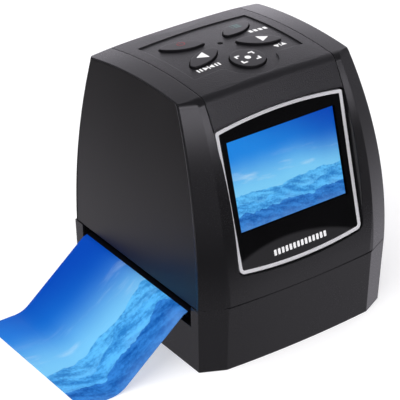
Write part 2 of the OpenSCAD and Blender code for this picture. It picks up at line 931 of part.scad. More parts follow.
// Half length of the deck and of the gate plate, which end inside the side walls
plate_in = 3.1;
plate_half_l = body_w / 2 - plate_in;
deck_border = 1;

// The scanned frame, grown by g
module frame_column(g, z0, z1) translate([0, channel_mid_y, z0])
  linear_extrude(z1 - z0) square([frame_l + 2 * g, frame_w + 2 * g], center = true);

module film_deck() color("#3c3c40") difference() {
  box(-plate_half_l, plate_half_l, slot_front_y + slip, slot_back_y - slip, deck_z, slot_floor_z);
  frame_column(deck_border, 0, seam_z);
}

tray_t = 1.2;
tray_gap = 0.3;
rail_ledge_w = 1.6;
sheet_front_y = slot_front_y + sheet_front_gap;
sheet_back_y = slot_back_y - sheet_back_gap;
sheet_w = sheet_back_y - sheet_front_y;
tray_half_l = body_w / 2 - tray_in;
guide_h = 2.4;
guide_gap = 0.2;

module film_tray() color("#46464a") difference() {
  box(-tray_half_l, tray_half_l, slot_front_y + tray_gap, slot_back_y - tray_gap,
    slot_floor_z, film_z + guide_h);
  box(-reach, reach, sheet_front_y - guide_gap, sheet_back_y + guide_gap, film_z, body_h);
  box(-reach, reach, sheet_front_y + rail_ledge_w, sheet_back_y - rail_ledge_w,
    slot_floor_z + tray_t, body_h);
  frame_column(0, 0, seam_z);
}

ear_d = 4.4;
hood_tab_d = 6;
hood_stand_d = 4.5;
hood_stand_h = 3;

module film_gate() color("#303034") difference() {
  union() {
    box(-plate_half_l, plate_half_l, slot_front_y - channel_wall_t, slot_back_y + channel_wall_t,
      gate_z, gate_top);
    for (p = case_posts) {
      post(p[0], p[1], ear_d, gate_z, gate_top);
      box(p[0] - ear_d / 2, p[0] + ear_d / 2, p[1] - sign(p[1]) * ear_d, p[1], gate_z, gate_top);
    }
    for (p = board_posts) {
      post(p[0], p[1], board_post_d, gate_top - join, board_z);
    }
    for (x = sides * hood_tab_x) {
      post(x, channel_mid_y, hood_stand_d, gate_top - join, gate_top + hood_stand_h);
    }
  }
  frame_column(0, 0, body_h);
  for (p = board_posts) {
    post(p[0], p[1], thread_d, gate_z + screw_stop, board_z + over);
  }
  for (p = case_posts) {
    post(p[0], p[1], hole_d, 0, body_h);
  }
  for (x = sides * hood_tab_x) {
    post(x, channel_mid_y, thread_d, gate_z + screw_stop, gate_top + hood_stand_h + over);
  }
}

// Points along an arc
bend_steps = 20;
function arc(c, r, from, to) =
  [for (i = [0 : bend_steps]) let (a = from + (to - from) * i / bend_steps) c + r * [cos(a), sin(a)]];

// The sheet lies flat in the tray, bends down outside the body and comes to lie on the table
sheet_bend_x = sheet_bend_in - body_w / 2;
sheet_inner_x = body_w / 2 - sheet_inner_in;
module film_sheet() color("deepskyblue") {
  low = film_z + slip;
  tight_r = sheet_bend_r - sheet_t;
  fall = low - table_gap - (tight_r + sheet_foot_r) * (1 - cos(sheet_slope));
  bend_mid = [sheet_bend_x, low - tight_r];
  straight = fall / tan(sheet_slope);
  foot_mid = bend_mid + [
    -(tight_r + sheet_foot_r) * sin(sheet_slope) - straight,
    table_gap + sheet_foot_r - low + tight_r
  ];
  end_x = foot_mid[0] - sheet_flat_l;
  rotate([90, 0, 0]) translate([0, 0, -sheet_back_y]) linear_extrude(sheet_w) polygon(concat(
    [[sheet_inner_x, low], [sheet_inner_x, low + sheet_t]],
    arc(bend_mid, sheet_bend_r, 90, 90 + sheet_slope),
    arc(foot_mid, sheet_foot_r - sheet_t, 270 + sheet_slope, 270),
    [[end_x, table_gap + sheet_t], [end_x, table_gap]],
    arc(foot_mid, sheet_foot_r, 270, 270 + sheet_slope),
    arc(bend_mid, tight_r, 90 + sheet_slope, 90)
  ));
}

// The backlight stands on the floor of the base and reaches up to the deck
light_board_z = floor_t + 2;
light_stand_x = 18;
light_stand_y = 12;
light_stand_d = 4;
light_half_l = 22;
light_half_w = 17;
light_wall = 1.5;
diffuser_t = 1.5;
led = [3.5, 2.8, 0.9];
led_pitch = [12, 14];

// Everything between two heights within half_l and half_w of the middle of the channel
module channel_block(half_l, half_w, z0, z1)
  box(-half_l, half_l, channel_mid_y - half_w, channel_mid_y + half_w, z0, z1);

module light_board() color("white")
  channel_block(light_half_l, light_half_w, light_board_z, light_board_z + board_t);

module light_leds() color("lightyellow") {
  for (x = [-1, 0, 1] * led_pitch[0], y = sides * led_pitch[1] / 2) {
    block([x, channel_mid_y + y], led, light_board_z + board_t);
  }
}

module light_box() color("ghostwhite") difference() {
  channel_block(light_half_l, light_half_w, light_board_z + board_t, deck_z - diffuser_t);
  channel_block(light_half_l - light_wall, light_half_w - light_wall, 0, seam_z);
}

module diffuser_plate() color("white")
  channel_block(light_half_l, light_half_w, deck_z - diffuser_t, deck_z);

hood_half_l = 22;
hood_half_w = 17;
hood_tab_x = 26.5;
hood_tab_t = 1.8;
hood_low = gate_top + hood_stand_h;
hood_top = gate_top + hood_h;
hood_post_d = 4.4;
hood_post_h = 6;
mount_screw_x = 10.5;

// A tab with a round end, and a root inside the hood's wall
module hood_tab(side) difference() {
  translate([0, channel_mid_y, hood_low]) linear_extrude(hood_tab_t) {
    translate([side * hood_tab_x, 0]) circle(d = hood_tab_d, $fn = 48);
    translate([side * (hood_tab_x + hood_half_l) / 2, 0])
      square([hood_tab_x - hood_half_l + 2 * join, hood_tab_d - 4 * join], center = true);
  }
  post(side * hood_tab_x, channel_mid_y, hole_d, 0, body_h);
}

module light_hood() color("#18181a") {
  hood_tab(-1);
  hood_tab(1);
  difference() {
    channel_block(hood_half_l, hood_half_w, gate_top, hood_top);
    difference() {
      channel_block(hood_half_l - hood_wall, hood_half_w - hood_wall, 0, hood_top - hood_wall);
      for (x = sides * mount_screw_x) {
        post(x, channel_mid_y, hood_post_d, hood_top - hood_post_h, hood_top);
      }
    }
    post(0, channel_mid_y, barrel_d + 4 * slip, hood_low, body_h);
    for (x = sides * mount_screw_x) {
      post(x, channel_mid_y, thread_d, hood_top - hood_post_h + screw_stop, body_h);
    }
  }
}

mount_flange_t = 2.5;
mount_h = 16;
mount_top = hood_top + mount_h;
mount_bore_h = 10;
mount_half_l = 14;
mount_half_w = 9;
mount_ring_t = 2.5;
chamber_half = 6.5;
chamber_wall = 2.7;
ear_x = 12;
ear_half_w = 3;
ear_h = 6;

module lens_mount() color("#222224") difference() {
  union() {
    channel_block(mount_half_l, mount_half_w, hood_top, hood_top + mount_flange_t);
    post(0, channel_mid_y, barrel_d + 2 * mount_ring_t, hood_top, hood_top + mount_bore_h);
    channel_block(chamber_half + chamber_wall, mount_half_w,
      hood_top + mount_bore_h - mount_ring_t, mount_top);
    channel_block(ear_x + mount_ring_t, ear_half_w, mount_top - ear_h, mount_top);
  }
  post(0, channel_mid_y, barrel_d + 2 * pin_gap, 0, hood_top + mount_bore_h + join);
  channel_block(chamber_half, chamber_half, hood_top + mount_bore_h, body_h);
  for (x = sides * mount_screw_x) {
    post(x, channel_mid_y, hole_d, 0, hood_top + mount_flange_t);
    post(x, channel_mid_y, screw_head_d + head_room,
      hood_top + mount_flange_t, hood_top + 2 * mount_flange_t);
  }
  for (x = sides * ear_x) {
    post(x, channel_mid_y, thread_d, mount_top - ear_h + 1, body_h);
  }
}

barrel_low = hood_top - 4;
barrel_top = hood_top + mount_bore_h;
barrel_bore = barrel_d - 3;
barrel_stop = 1;
glass_seat = 3;
glass_r = 18;
glass_half_t = 0.9;

module lens_barrel() color("#151515") difference() {
  post(0, channel_mid_y, barrel_d, barrel_low, barrel_top);
  post(0, channel_mid_y, barrel_bore, 0, barrel_low + glass_seat);
  post(0, channel_mid_y, barrel_bore - 2 * barrel_stop, 0, body_h);
  post(0, channel_mid_y, barrel_bore, barrel_top - glass_seat, body_h);
}

// A biconvex glass with its middle at z
module lens_glass(z) translate([0, channel_mid_y, z]) rotate_extrude() intersection() {
  translate([0, glass_r - glass_half_t]) circle(r = glass_r, $fn = arc_fn);
  translate([0, glass_half_t - glass_r]) circle(r = glass_r, $fn = arc_fn);
  translate([0, -glass_r]) square([barrel_bore / 2 - pin_gap, 2 * glass_r]);
}

// Height of a glass over its middle where it meets the barrel's stop
glass_rise = glass_half_t - pow(barrel_bore / 2 - barrel_stop, 2) / (2 * glass_r);
module lens_glasses() color("lightcyan") {
  lens_glass(barrel_low + glass_seat - glass_rise);
  lens_glass(barrel_top - glass_seat + glass_rise);
}

sensor_board_half = [17, 13];
sensor_half = 5.5;
sensor_t = 1.5;

module sensor_board() color("darkgreen") difference() {
  channel_block(sensor_board_half[0], sensor_board_half[1], mount_top, mount_top + board_t);
  for (x = sides * ear_x) {
    post(x, channel_mid_y, hole_d, 0, body_h);
  }
}

module image_sensor() color("#404048")
  channel_block(sensor_half, sensor_half, mount_top - sensor_t, mount_top);

module optics_screws() color("silver") {
  for (x = sides * hood_tab_x) {
    screw_down(x, channel_mid_y, hood_low + hood_tab_t, gate_z + 2 * screw_stop);
  }
  for (x = sides * mount_screw_x) {
    screw_down(x, channel_mid_y, hood_top + mount_flange_t, hood_top - hood_post_h + 2 * screw_stop);
  }
  for (x = sides * ear_x) {
    screw_down(x, channel_mid_y, mount_top + board_t, mount_top - ear_h + 1 + screw_stop);
  }
}

// The main board: around the hood, with a tongue for the sockets between the back posts
board_in = 6.5;
board_front_in = 8.7;
board_back_in = 0.5;
tongue_in = 3.4;
tongue_out = 3;
board_half_l = body_w / 2 - board_in;
board_front_y = slot_front_y + board_front_in;
board_back_y = slot_back_y - board_back_in;
tongue_half_l = back_post_x - tongue_in;
tongue_back_y = slot_back_y + tongue_out;
hood_clear = 1.4;
tab_clear = 1;

module main_board() color("darkgreen") difference() {
  union() {
    box(-board_half_l, board_half_l, board_front_y, board_back_y, board_z, board_top);
    box(-tongue_half_l, tongue_half_l, board_back_y - 1, tongue_back_y, board_z, board_top);
  }
  channel_block(hood_half_l + hood_clear, hood_half_w + hood_clear, 0, body_h);
  channel_block(hood_tab_x + hood_tab_d / 2 + tab_clear, hood_tab_d / 2 + 2 * tab_clear, 0, body_h);
  for (p = board_posts) {
    post(p[0], p[1], hole_d, 0, body_h);
  }
}

main_chip = [12, 9, 1.4];
side_chip = [7, 10, 1.1];
side_chip_in = 5;
side_chip_out = 12;
side_chip_x = board_half_l - side_chip_in;
side_chip_y = channel_mid_y + side_chip_out;
module board_chips() color("#1c1c1e") {
  block([usb_x + usb_w + main_chip[0] / 2, board_back_y - main_chip[1] + 2], main_chip, board_top);
  for (x = sides * side_chip_x) {
    block([x, side_chip_y], side_chip, board_top);
  }
}

usb_tongue = [4.8, 0.8];
module usb_socket() color("silver") difference() {
  box(usb_x - usb_w / 2, usb_x + usb_w / 2, usb_back_y - usb_l, usb_back_y, board_top, board_top + usb_h);
  difference() {
    box(usb_x - usb_w / 2 + sheet_metal_t, usb_x + usb_w / 2 - sheet_metal_t, usb_back_y - usb_l + 1, reach,
      board_top + sheet_metal_t, board_top + usb_h - sheet_metal_t);
    box(usb_x - usb_tongue[0] / 2, usb_x + usb_tongue[0] / 2, 0, usb_back_y - usb_tongue[1],
      board_top + (usb_h - usb_tongue[1]) / 2, board_top + (usb_h + usb_tongue[1]) / 2);
  }
}

// The card socket reaches from the back to just behind the hood
card_hood_gap = 0.9;
card_front_y = channel_mid_y + hood_half_w + card_hood_gap;
module card_socket() color("gainsboro") difference() {
  box(card_x - card_w / 2, card_x + card_w / 2, card_front_y, card_back_y, board_top, board_top + card_h);
  box(card_x - card_w / 2 + card_rim, card_x + card_w / 2 - card_rim, card_front_y + card_rim, reach,
    board_top + sheet_metal_t, board_top + card_h - sheet_metal_t);
}

module main_board_screws() color("silver") for (p = board_posts) {
  screw_down(p[0], p[1], board_top, gate_z + 2 * screw_stop);
}

module case_screws() color("silver") for (p = case_posts) {
  post(p[0], p[1], case_head_d, case_head_z - case_head_t, case_head_z);
  post(p[0], p[1], screw_d, case_head_z - join, case_post_top - 2);
}

module rubber_feet() color("#111111") for (p = feet) {
  post(p[0], p[1], foot_d, 0, foot_t);
}

lower_case();
upper_case();
top_fascia();
side_panel_left();
side_panel_right();
window_bezel();
window_lens();
display_panel();
display_frame();
power_key();
menu_key();
left_key();
right_key();
scan_key();
status_light();
key_board();
key_switches();
key_board_screws();
film_deck();
film_tray();
film_gate();
film_sheet();
light_board();
light_leds();
light_box();
diffuser_plate();
light_hood();
lens_mount();
lens_barrel();
lens_glasses();
sensor_board();
image_sensor();
optics_screws();
main_board();
board_chips();
usb_socket();
card_socket();
main_board_screws();
case_screws();
rubber_feet();
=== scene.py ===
"""Looks of a film negative scanner: finishes, printed marks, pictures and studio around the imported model."""

import logging
import math
from dataclasses import dataclass, field
from enum import Enum

import bmesh
import bpy
from mathutils import Matrix, Vector
from mathutils.bvhtree import BVHTree


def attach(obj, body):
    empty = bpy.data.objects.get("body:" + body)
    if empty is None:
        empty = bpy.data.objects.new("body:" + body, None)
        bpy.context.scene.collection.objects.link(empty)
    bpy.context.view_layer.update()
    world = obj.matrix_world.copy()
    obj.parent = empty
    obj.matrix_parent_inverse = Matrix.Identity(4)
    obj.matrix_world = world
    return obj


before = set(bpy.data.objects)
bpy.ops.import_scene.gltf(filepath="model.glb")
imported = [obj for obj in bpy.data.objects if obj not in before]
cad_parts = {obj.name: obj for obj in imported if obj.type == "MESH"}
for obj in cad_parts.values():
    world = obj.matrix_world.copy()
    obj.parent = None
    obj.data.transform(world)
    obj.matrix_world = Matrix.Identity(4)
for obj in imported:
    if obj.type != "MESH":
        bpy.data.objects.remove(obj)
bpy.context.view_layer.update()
MM = 0.001
log = logging.getLogger("film_scanner")

Colour = tuple[float, float, float]
Spot = tuple[float, float, float]
Point = tuple[float, float]
Outline = list[Point]


class Socket:
    """An output in a node tree, on which Python's operators add Math nodes."""

    def __init__(self, tree: "NodeTree", output: bpy.types.NodeSocket, vector: bool = False) -> None:
        """Wraps an output.

        Args:
            tree: the tree that the output belongs to.
            output: the output itself.
            vector: whether it carries three numbers.
        """
        self.tree = tree
        self.output = output
        self.vector = vector

    def _join(self, operation: str, *terms: "Socket | float") -> "Socket":
        """Adds a Math node, or a Vector Math node where a term is a vector.

        Args:
            operation: Blender's name of the operation.
            terms: its inputs, in order.

        Returns:
            The node's result.
        """
        vector = any(isinstance(t, Socket) and t.vector for t in terms)
        if vector:
            terms = tuple(t if isinstance(t, Socket) else (t, t, t) for t in terms)
        kind = "ShaderNodeVectorMath" if vector else "ShaderNodeMath"
        made = self.tree.node(kind, {"operation": operation}, dict(enumerate(terms)))
        made.vector = vector
        return made

    def __add__(self, other: "Socket | float") -> "Socket":
        """Sum."""
        return self._join("ADD", self, other)

    def __radd__(self, other: float) -> "Socket":
        """Sum, from the right."""
        return self._join("ADD", other, self)

    def __sub__(self, other: "Socket | float") -> "Socket":
        """Difference."""
        return self._join("SUBTRACT", self, other)

    def __rsub__(self, other: float) -> "Socket":
        """Difference, from the right."""
        return self._join("SUBTRACT", other, self)

    def __mul__(self, other: "Socket | float") -> "Socket":
        """Product."""
        return self._join("MULTIPLY", self, other)

    def __rmul__(self, other: float) -> "Socket":
        """Product, from the right."""
        return self._join("MULTIPLY", other, self)

    def __truediv__(self, other: "Socket | float") -> "Socket":
        """Quotient."""
        return self._join("DIVIDE", self, other)

    def __rtruediv__(self, other: float) -> "Socket":
        """Quotient, from the right."""
        return self._join("DIVIDE", other, self)

    def __pow__(self, other: float) -> "Socket":
        """Power."""
        return self._join("POWER", self, other)

    def __rpow__(self, other: float) -> "Socket":
        """Power, from the right."""
        return self._join("POWER", other, self)

    def __abs__(self) -> "Socket":
        """Size without sign."""
        return self._join("ABSOLUTE", self)

    def at_least(self, other: "Socket | float") -> "Socket":
        """The larger of the two."""
        return self._join("MAXIMUM", self, other)

    def wave(self) -> "Socket":
        """Sine of the value."""
        return self._join("SINE", self)

    def part(self, axis: int) -> "Socket":
        """One of a vector's three numbers."""
        return self.tree.node("ShaderNodeSeparateXYZ", {}, {0: self}, axis)

    def dot(self, direction: Vector) -> "Socket":
        """How far the vector reaches along a direction."""
        settings = {"operation": "DOT_PRODUCT"}
        return self.tree.node("ShaderNodeVectorMath", settings, {0: self, 1: direction}, "Value")

    def step(self, low: float, high: float) -> "Socket":
        """Soft step.

        Args:
            low: the value where the step is 0.
            high: the value where it reaches 1.

        Returns:
            The step's height, from 0 to 1.
        """
        settings = {"interpolation_type": "SMOOTHSTEP"}
        inputs = {"Value": self, "From Min": low, "From Max": high, "To Min": 0.0, "To Max": 1.0}
        return self.tree.node("ShaderNodeMapRange", settings, inputs)


class NodeTree:
    """A node tree under construction, of a material or of the surround."""

    def __init__(self, tree: bpy.types.NodeTree) -> None:
        """Empties the tree.

        Args:
            tree: Blender's tree.
        """
        self.nodes = tree.nodes
        self.links = tree.links
        self.nodes.clear()

    def node(self, kind: str, settings: dict, inputs: dict, output: int | str = 0) -> Socket:
        """Adds any node.

        Args:
            kind: Blender's type of the node.
            settings: its properties.
            inputs: values or sockets by the input's name or number.
            output: name or number of the output to hand back.

        Returns:
            The chosen output.
        """
        made = self.nodes.new(kind)
        for key, value in settings.items():
            setattr(made, key, value)
        for key, value in inputs.items():
            if isinstance(value, Socket):
                self.links.new(value.output, made.inputs[key])
            else:
                made.inputs[key].default_value = value
        return Socket(self, made.outputs[output])

    def end(self, kind: str, shader: Socket) -> None:
        """Ends the tree in a shader, with an output node of a kind."""
        self.links.new(shader.output, self.nodes.new(kind).inputs["Surface"])

    def place(self) -> Socket:
        """Where the surface is.

        Returns:
            The place on the piece in millimetres, in the row frame at rest.
        """
        made = self.node("ShaderNodeTexCoord", {}, {}, "Object")
        made.vector = True
        return made * (1.0 / MM)

    def vector(self, x: "Socket | float", y: "Socket | float", z: "Socket | float" = 0.0) -> Socket:
        """Joins three numbers.

        Args:
            x: the first.
            y: the second.
            z: the third.

        Returns:
            The vector.
        """
        made = self.node("ShaderNodeCombineXYZ", {}, {0: x, 1: y, 2: z})
        made.vector = True
        return made

    def noise(self, place: Socket, scale: float, detail: float = 2.0, rough: float = 0.5) -> Socket:
        """Cloudy noise around 0.5 whose lumps repeat scale times per millimetre."""
        inputs = {"Vector": place, "Scale": scale, "Detail": detail, "Roughness": rough}
        return self.node("ShaderNodeTexNoise", {}, inputs)

    def line_noise(self, along: Socket, detail: float = 2.0) -> Socket:
        """Noise that varies along one line only."""
        inputs = {"W": along, "Scale": 1.0, "Detail": detail}
        return self.node("ShaderNodeTexNoise", {"noise_dimensions": "1D"}, inputs)

    def mix(self, share: "Socket | float", low: "Socket | Colour", high: "Socket | Colour") -> Socket:
        """Colour that goes from low to high with share."""
        inputs = {0: share, 6: self._full(low), 7: self._full(high)}
        return self.node("ShaderNodeMix", {"data_type": "RGBA"}, inputs, 2)

    @staticmethod
    def _full(colour: "Socket | Colour") -> "Socket | tuple[float, ...]":
        """The colour with its alpha, where it isn't a socket."""
        return colour if isinstance(colour, Socket) else (*colour, 1.0)


class Finishing(NodeTree):
    """A material under construction."""

    def __init__(self, name: str) -> None:
        """Starts an empty material.

        Args:
            name: the material's name.
        """
        self.material = bpy.data.materials.new(name)
        self.material.use_nodes = True
        super().__init__(self.material.node_tree)

    def edges(self, radius: float) -> Socket:
        """Normal that rounds the edges by a radius in millimetres."""
        return self.node("ShaderNodeBevel", {"samples": 6}, {"Radius": radius * MM})

    def bump(self, height: Socket, strength: float, depth: float, under: Socket | None = None) -> Socket:
        """Normal of a surface with relief.

        Args:
            height: the relief, from 0 to 1.
            strength: share of the relief that shows.
            depth: its depth in millimetres.
            under: the normal that the relief lies on.

        Returns:
            The normal.
        """
        inputs = {"Strength": strength, "Distance": depth * MM, "Height": height}
        if under is not None:
            inputs["Normal"] = under
        return self.node("ShaderNodeBump", {}, inputs)

    def close(self, sockets: dict) -> bpy.types.Material:
        """Adds the shader and the output.

        Args:
            sockets: the shader's values and links by name.

        Returns:
            The finished material.
        """
        full = {k: self._full(v) if isinstance(v, tuple) and len(v) == 3 else v for k, v in sockets.items()}
        self.end("ShaderNodeOutputMaterial", self.node("ShaderNodeBsdfPrincipled", {}, full))
        return self.material


def scaled(colour: Colour, share: float) -> Colour:
    """The colour made darker or lighter by a share, up to full white."""
    return tuple(min(1.0, c * share) for c in colour)


@dataclass(frozen=True)
class MouldedPlastic:
    """Satin injection-moulded plastic: spark-eroded grain, faint mottling and softened edges."""

    name: str
    colour: Colour
    roughness: float = 0.42
    grain: float = 0.25
    relief: float = 0.012
    edge: float = 0.35
    mottle: float = 0.18
    coat: float = 0.0
    shine: float = 0.5
    cloud_scale: float = 0.05
    cloud_share: float = 0.7
    rough_by_grain: float = 0.12
    rough_by_cloud: float = 0.08
    relief_share: float = 0.6

    def make(self) -> bpy.types.Material:
        """Makes the finish.

        Returns:
            The material.
        """
        tree = Finishing(self.name)
        place = tree.place()
        cloud = tree.noise(place, self.cloud_scale, 3.0)
        grain = tree.noise(place, 1.0 / self.grain, 2.0, 0.6)
        spots = cloud * self.cloud_share + grain * (1.0 - self.cloud_share)
        dark, light = (scaled(self.colour, 1.0 + way * self.mottle) for way in (-1, 1))
        colour = tree.mix(spots, dark, light)
        rough = self.roughness + (grain - 0.5) * self.rough_by_grain + (cloud - 0.5) * self.rough_by_cloud
        normal = tree.bump(grain, self.relief_share, self.relief, tree.edges(self.edge))
        sockets = {
            "Base Color": colour, "Roughness": rough, "Normal": normal, "Specular IOR Level": self.shine,
        }
        if self.coat:
            sockets["Coat Weight"] = self.coat
        return tree.close(sockets)


@dataclass(frozen=True)
class MilledMetal:
    """Bright metal with fine lines along one axis and slightly worn edges."""

    name: str
    colour: Colour
    roughness: float = 0.3
    stretch: Spot = (0.3, 6.0, 6.0)
    metallic: float = 1.0
    cloud_scale: float = 0.4
    line_share: float = 0.6
    worn: float = 0.86
    rough_by_line: float = 0.25
    relief: float = 0.01
    edge: float = 0.3

    def make(self) -> bpy.types.Material:
        """Makes the finish.

        Returns:
            The material.
        """
        tree = Finishing(self.name)
        place = tree.place()
        lines = tree.noise(place * tree.vector(*self.stretch), 1.0, 3.0)
        cloud = tree.noise(place, self.cloud_scale, 2.0)
        spots = lines * self.line_share + cloud * (1.0 - self.line_share)
        colour = tree.mix(spots, scaled(self.colour, self.worn), self.colour)
        rough = self.roughness + (lines - 0.5) * self.rough_by_line
        normal = tree.bump(lines, 0.25, self.relief, tree.edges(self.edge))
        return tree.close({
            "Base Color": colour, "Roughness": rough, "Metallic": self.metallic, "Normal": normal,
        })


@dataclass(frozen=True)
class Hills:
    """One range of hills in the picture. Heights are shares of the picture's."""

    foot: float
    rise: float
    pace: float
    seed: float
    tint: Colour
    shadow: Colour = (0.3, 0.52, 0.72)
    sunlit: float = 1.25
    misty: float = 1.1
    wood_share: float = 0.32
    wood_edge: Point = (0.36, 0.63)
    haze_depth: Point = (0.06, 0.24)
    haze_share: float = 0.75
    crest: float = 0.008

    def cover(self, tree: Finishing, colour: Socket, u: Socket, v: Socket) -> Socket:
        """Lays the range over the colour.

        Args:
            tree: the material's tree.
            colour: what lies behind the hills.
            u: place across the picture, in picture heights.
            v: place up the picture, from 0 to 1.

        Returns:
            The colour with the range.
        """
        ridge = self.foot + (tree.line_noise(u * self.pace + self.seed, 5.0) - 0.5) * (self.rise * 2.0)
        depth = ridge - v
        woods = tree.noise(tree.vector(u * 40.0, v * 46.0, self.seed), 1.0, 3.0, 0.6)
        folds = tree.noise(tree.vector(u * 7.0 + v * 11.0, v * 13.0, self.seed), 1.0, 4.0, 0.55)
        woods = woods * self.wood_share + folds * (1.0 - self.wood_share)
        dark = tuple(c * d for c, d in zip(self.tint, self.shadow))
        light = tuple(min(1.0, c * self.sunlit + 0.02) for c in self.tint)
        haze = tuple(min(1.0, c * self.misty + 0.09) for c in self.tint)
        slope = tree.mix(woods.step(*self.wood_edge), dark, light)
        slope = tree.mix(depth.step(*self.haze_depth) * self.haze_share, slope, haze)
        return tree.mix(depth.step(0.0, self.crest), colour, slope)


@dataclass(frozen=True)
class Landscape:
    """A picture of misty hills under a blue sky, made from noise alone."""

    sky_top: Colour = (0.001, 0.065, 0.47)
    sky_mid: Colour = (0.012, 0.235, 0.76)
    sky_low: Colour = (0.2, 0.61, 0.94)
    veil: Colour = (0.62, 0.82, 0.97)
    sway: float = 0.1
    mid_band: Point = (0.38, 0.85)
    top_band: Point = (1.75, 2.5)
    cloud_band: Point = (0.5, 0.75)
    veil_reach: float = 0.26
    veil_share: float = 0.55
    ranges: tuple[Hills, ...] = (
        Hills(0.38, 0.08, 2.1, 1.0, (0.085, 0.43, 0.82)),
        Hills(0.29, 0.1, 2.9, 7.0, (0.07, 0.4, 0.8)),
        Hills(0.17, 0.09, 3.7, 13.0, (0.014, 0.18, 0.54)),
    )

    def paint(self, tree: Finishing, u: Socket, v: Socket) -> Socket:
        """The picture's colour.

        Args:
            tree: the material's tree.
            u: place across the picture, in picture heights.
            v: place up the picture, from 0 to 1.

        Returns:
            The colour.
        """
        drift = tree.line_noise(u * 1.3 + 4.0) - 0.5
        height = v + drift * self.sway
        colour = tree.mix(height.step(*self.mid_band), self.sky_low, self.sky_mid)
        colour = tree.mix((height + u * 0.5).step(*self.top_band), colour, self.sky_top)
        cloud = tree.noise(tree.vector(u * 2.2 + v * 3.0, v * 9.0), 1.0, 5.0, 0.55)
        veil = cloud.step(*self.cloud_band) * (1.0 - abs(v - 0.5).step(0.0, self.veil_reach))
        colour = tree.mix(veil * self.veil_share, colour, self.veil)
        for hills in self.ranges:
            colour = hills.cover(tree, colour, u, v)
        return colour


@dataclass(frozen=True)
class FilmPrint:
    """Glossy film with the picture printed up to a dark margin at its inner end; that margin is painted shade,
    dark where the case's slot shades the film.
    """

    name: str
    picture: Landscape
    front: float
    width: float
    bend_x: float
    slope: float
    # Painted shade: inward of this x the film is near-black, where the slot in the case shades it.
    slot_shade_from_x: float
    slot_shade_margin: Colour = (0.004, 0.004, 0.006)
    picture_end: float = 3.9
    relief: float = 0.25

    def make(self) -> bpy.types.Material:
        """Makes the finish.

        Returns:
            The material.
        """
        tree = Finishing(self.name)
        place = tree.place()
        x = place.part(0)
        outside = (self.bend_x - x).at_least(0.0)
        along = x * -1.0 + outside * (1.0 / math.cos(math.radians(self.slope)) - 1.0)
        v = (place.part(1) - self.front) / self.width
        colour = self.picture.paint(tree, self.picture_end - along / self.width, v)
        # Painted shade of the slot: the picture gives way to near-black inside the case's side.
        colour = tree.mix((x - self.slot_shade_from_x).step(0.0, 0.15), colour, self.slot_shade_margin)
        fine = tree.noise(place, 3.0, 3.0)
        normal = tree.bump(tree.noise(place, 0.08, 2.0), 0.25, self.relief)
        return tree.close({
            "Base Color": colour, "Roughness": 0.3 + fine * 0.08,
            "Normal": normal, "Specular IOR Level": 0.08,
        })


@dataclass(frozen=True)
class PictureArea:
    """Where the picture stands on the sloping window. Sizes are in millimetres, the tilt in degrees."""

    size: Point
    middle: Spot
    tilt: float
    low: float

    def place(self, tree: Finishing) -> tuple[Socket, Socket]:
        """Place on the window.

        Args:
            tree: the material's tree.

        Returns:
            The place across the window from its middle, and up its slope from the picture's low edge.
        """
        place = tree.place()
        angle = math.radians(self.tilt)
        back, up = (place.part(i) - self.middle[i] for i in (1, 2))
        return place.part(0), back * math.sin(angle) + up * math.cos(angle) - self.low

    def mask(self, u: Socket, v: Socket, soft: float) -> Socket:
        """1 inside the picture and 0 outside it, with a soft edge."""
        across = (self.size[0] / 2 - abs(u)).step(-soft, soft)
        return across * (self.size[1] / 2 - abs(v - self.size[1] / 2)).step(-soft, soft)


@dataclass(frozen=True)
class LitDisplay:
    """Display glass with the picture glowing in its area. The row pitch is in millimetres."""

    name: str
    picture: Landscape
    area: PictureArea
    picture_start: float = 2.3
    row_pitch: float = 0.153
    row_depth: float = 0.03
    strength: float = 1.05

    def make(self) -> bpy.types.Material:
        """Makes the finish.

        Returns:
            The material.
        """
        tree = Finishing(self.name)
        u, v = self.area.place(tree)
        high = self.area.size[1]
        colour = self.picture.paint(tree, u / high + self.picture_start, v / high)
        rows = ((v + self.area.low) * (2 * math.pi / self.row_pitch)).wave()
        shade = rows * self.row_depth + (1.0 - self.row_depth)
        return tree.close({
            "Base Color": (0.004, 0.004, 0.005), "Roughness": 0.12 + tree.noise(tree.place(), 0.5) * 0.05,
            "Emission Color": tree.mix(self.area.mask(u, v, 0.05) * shade, (0.0, 0.0, 0.0), colour),
            "Emission Strength": self.strength,
        })


@dataclass(frozen=True)
class SmokedWindow:
    """Gloss black window, clear over the display's picture."""

    name: str
    area: PictureArea

    def make(self) -> bpy.types.Material:
        """Makes the finish.

        Returns:
            The material.
        """
        tree = Finishing(self.name)
        clear = self.area.mask(*self.area.place(tree), 0.12)
        smear = tree.noise(tree.place(), 0.12, 4.0)
        tree.material.surface_render_method = "BLENDED"
        return tree.close({
            "Base Color": tree.mix(smear, (0.0015, 0.0015, 0.0015), (0.003, 0.003, 0.0035)),
            "Roughness": 0.004 + smear * 0.012, "Alpha": 1.0 - clear * 0.97,
        })


@dataclass(frozen=True)
class CircuitBoard:
    """Solder mask over a net of copper tracks."""

    name: str
    mask: Colour = (0.008, 0.11, 0.045)
    track: Colour = (0.02, 0.2, 0.08)
    track_scale: float = 0.35
    track_relief: float = 0.03

    def make(self) -> bpy.types.Material:
        """Makes the finish.

        Returns:
            The material.
        """
        tree = Finishing(self.name)
        settings = {"feature": "DISTANCE_TO_EDGE", "distance": "EUCLIDEAN"}
        inputs = {"Vector": tree.place(), "Scale": self.track_scale, "Randomness": 0.7}
        tracks = 1.0 - tree.node("ShaderNodeTexVoronoi", settings, inputs).step(0.02, 0.05)
        colour = tree.mix(tracks, self.mask, self.track)
        normal = tree.bump(tracks, 0.3, self.track_relief, tree.edges(0.15))
        return tree.close({"Base Color": colour, "Roughness": 0.32 + tracks * 0.1, "Normal": normal})


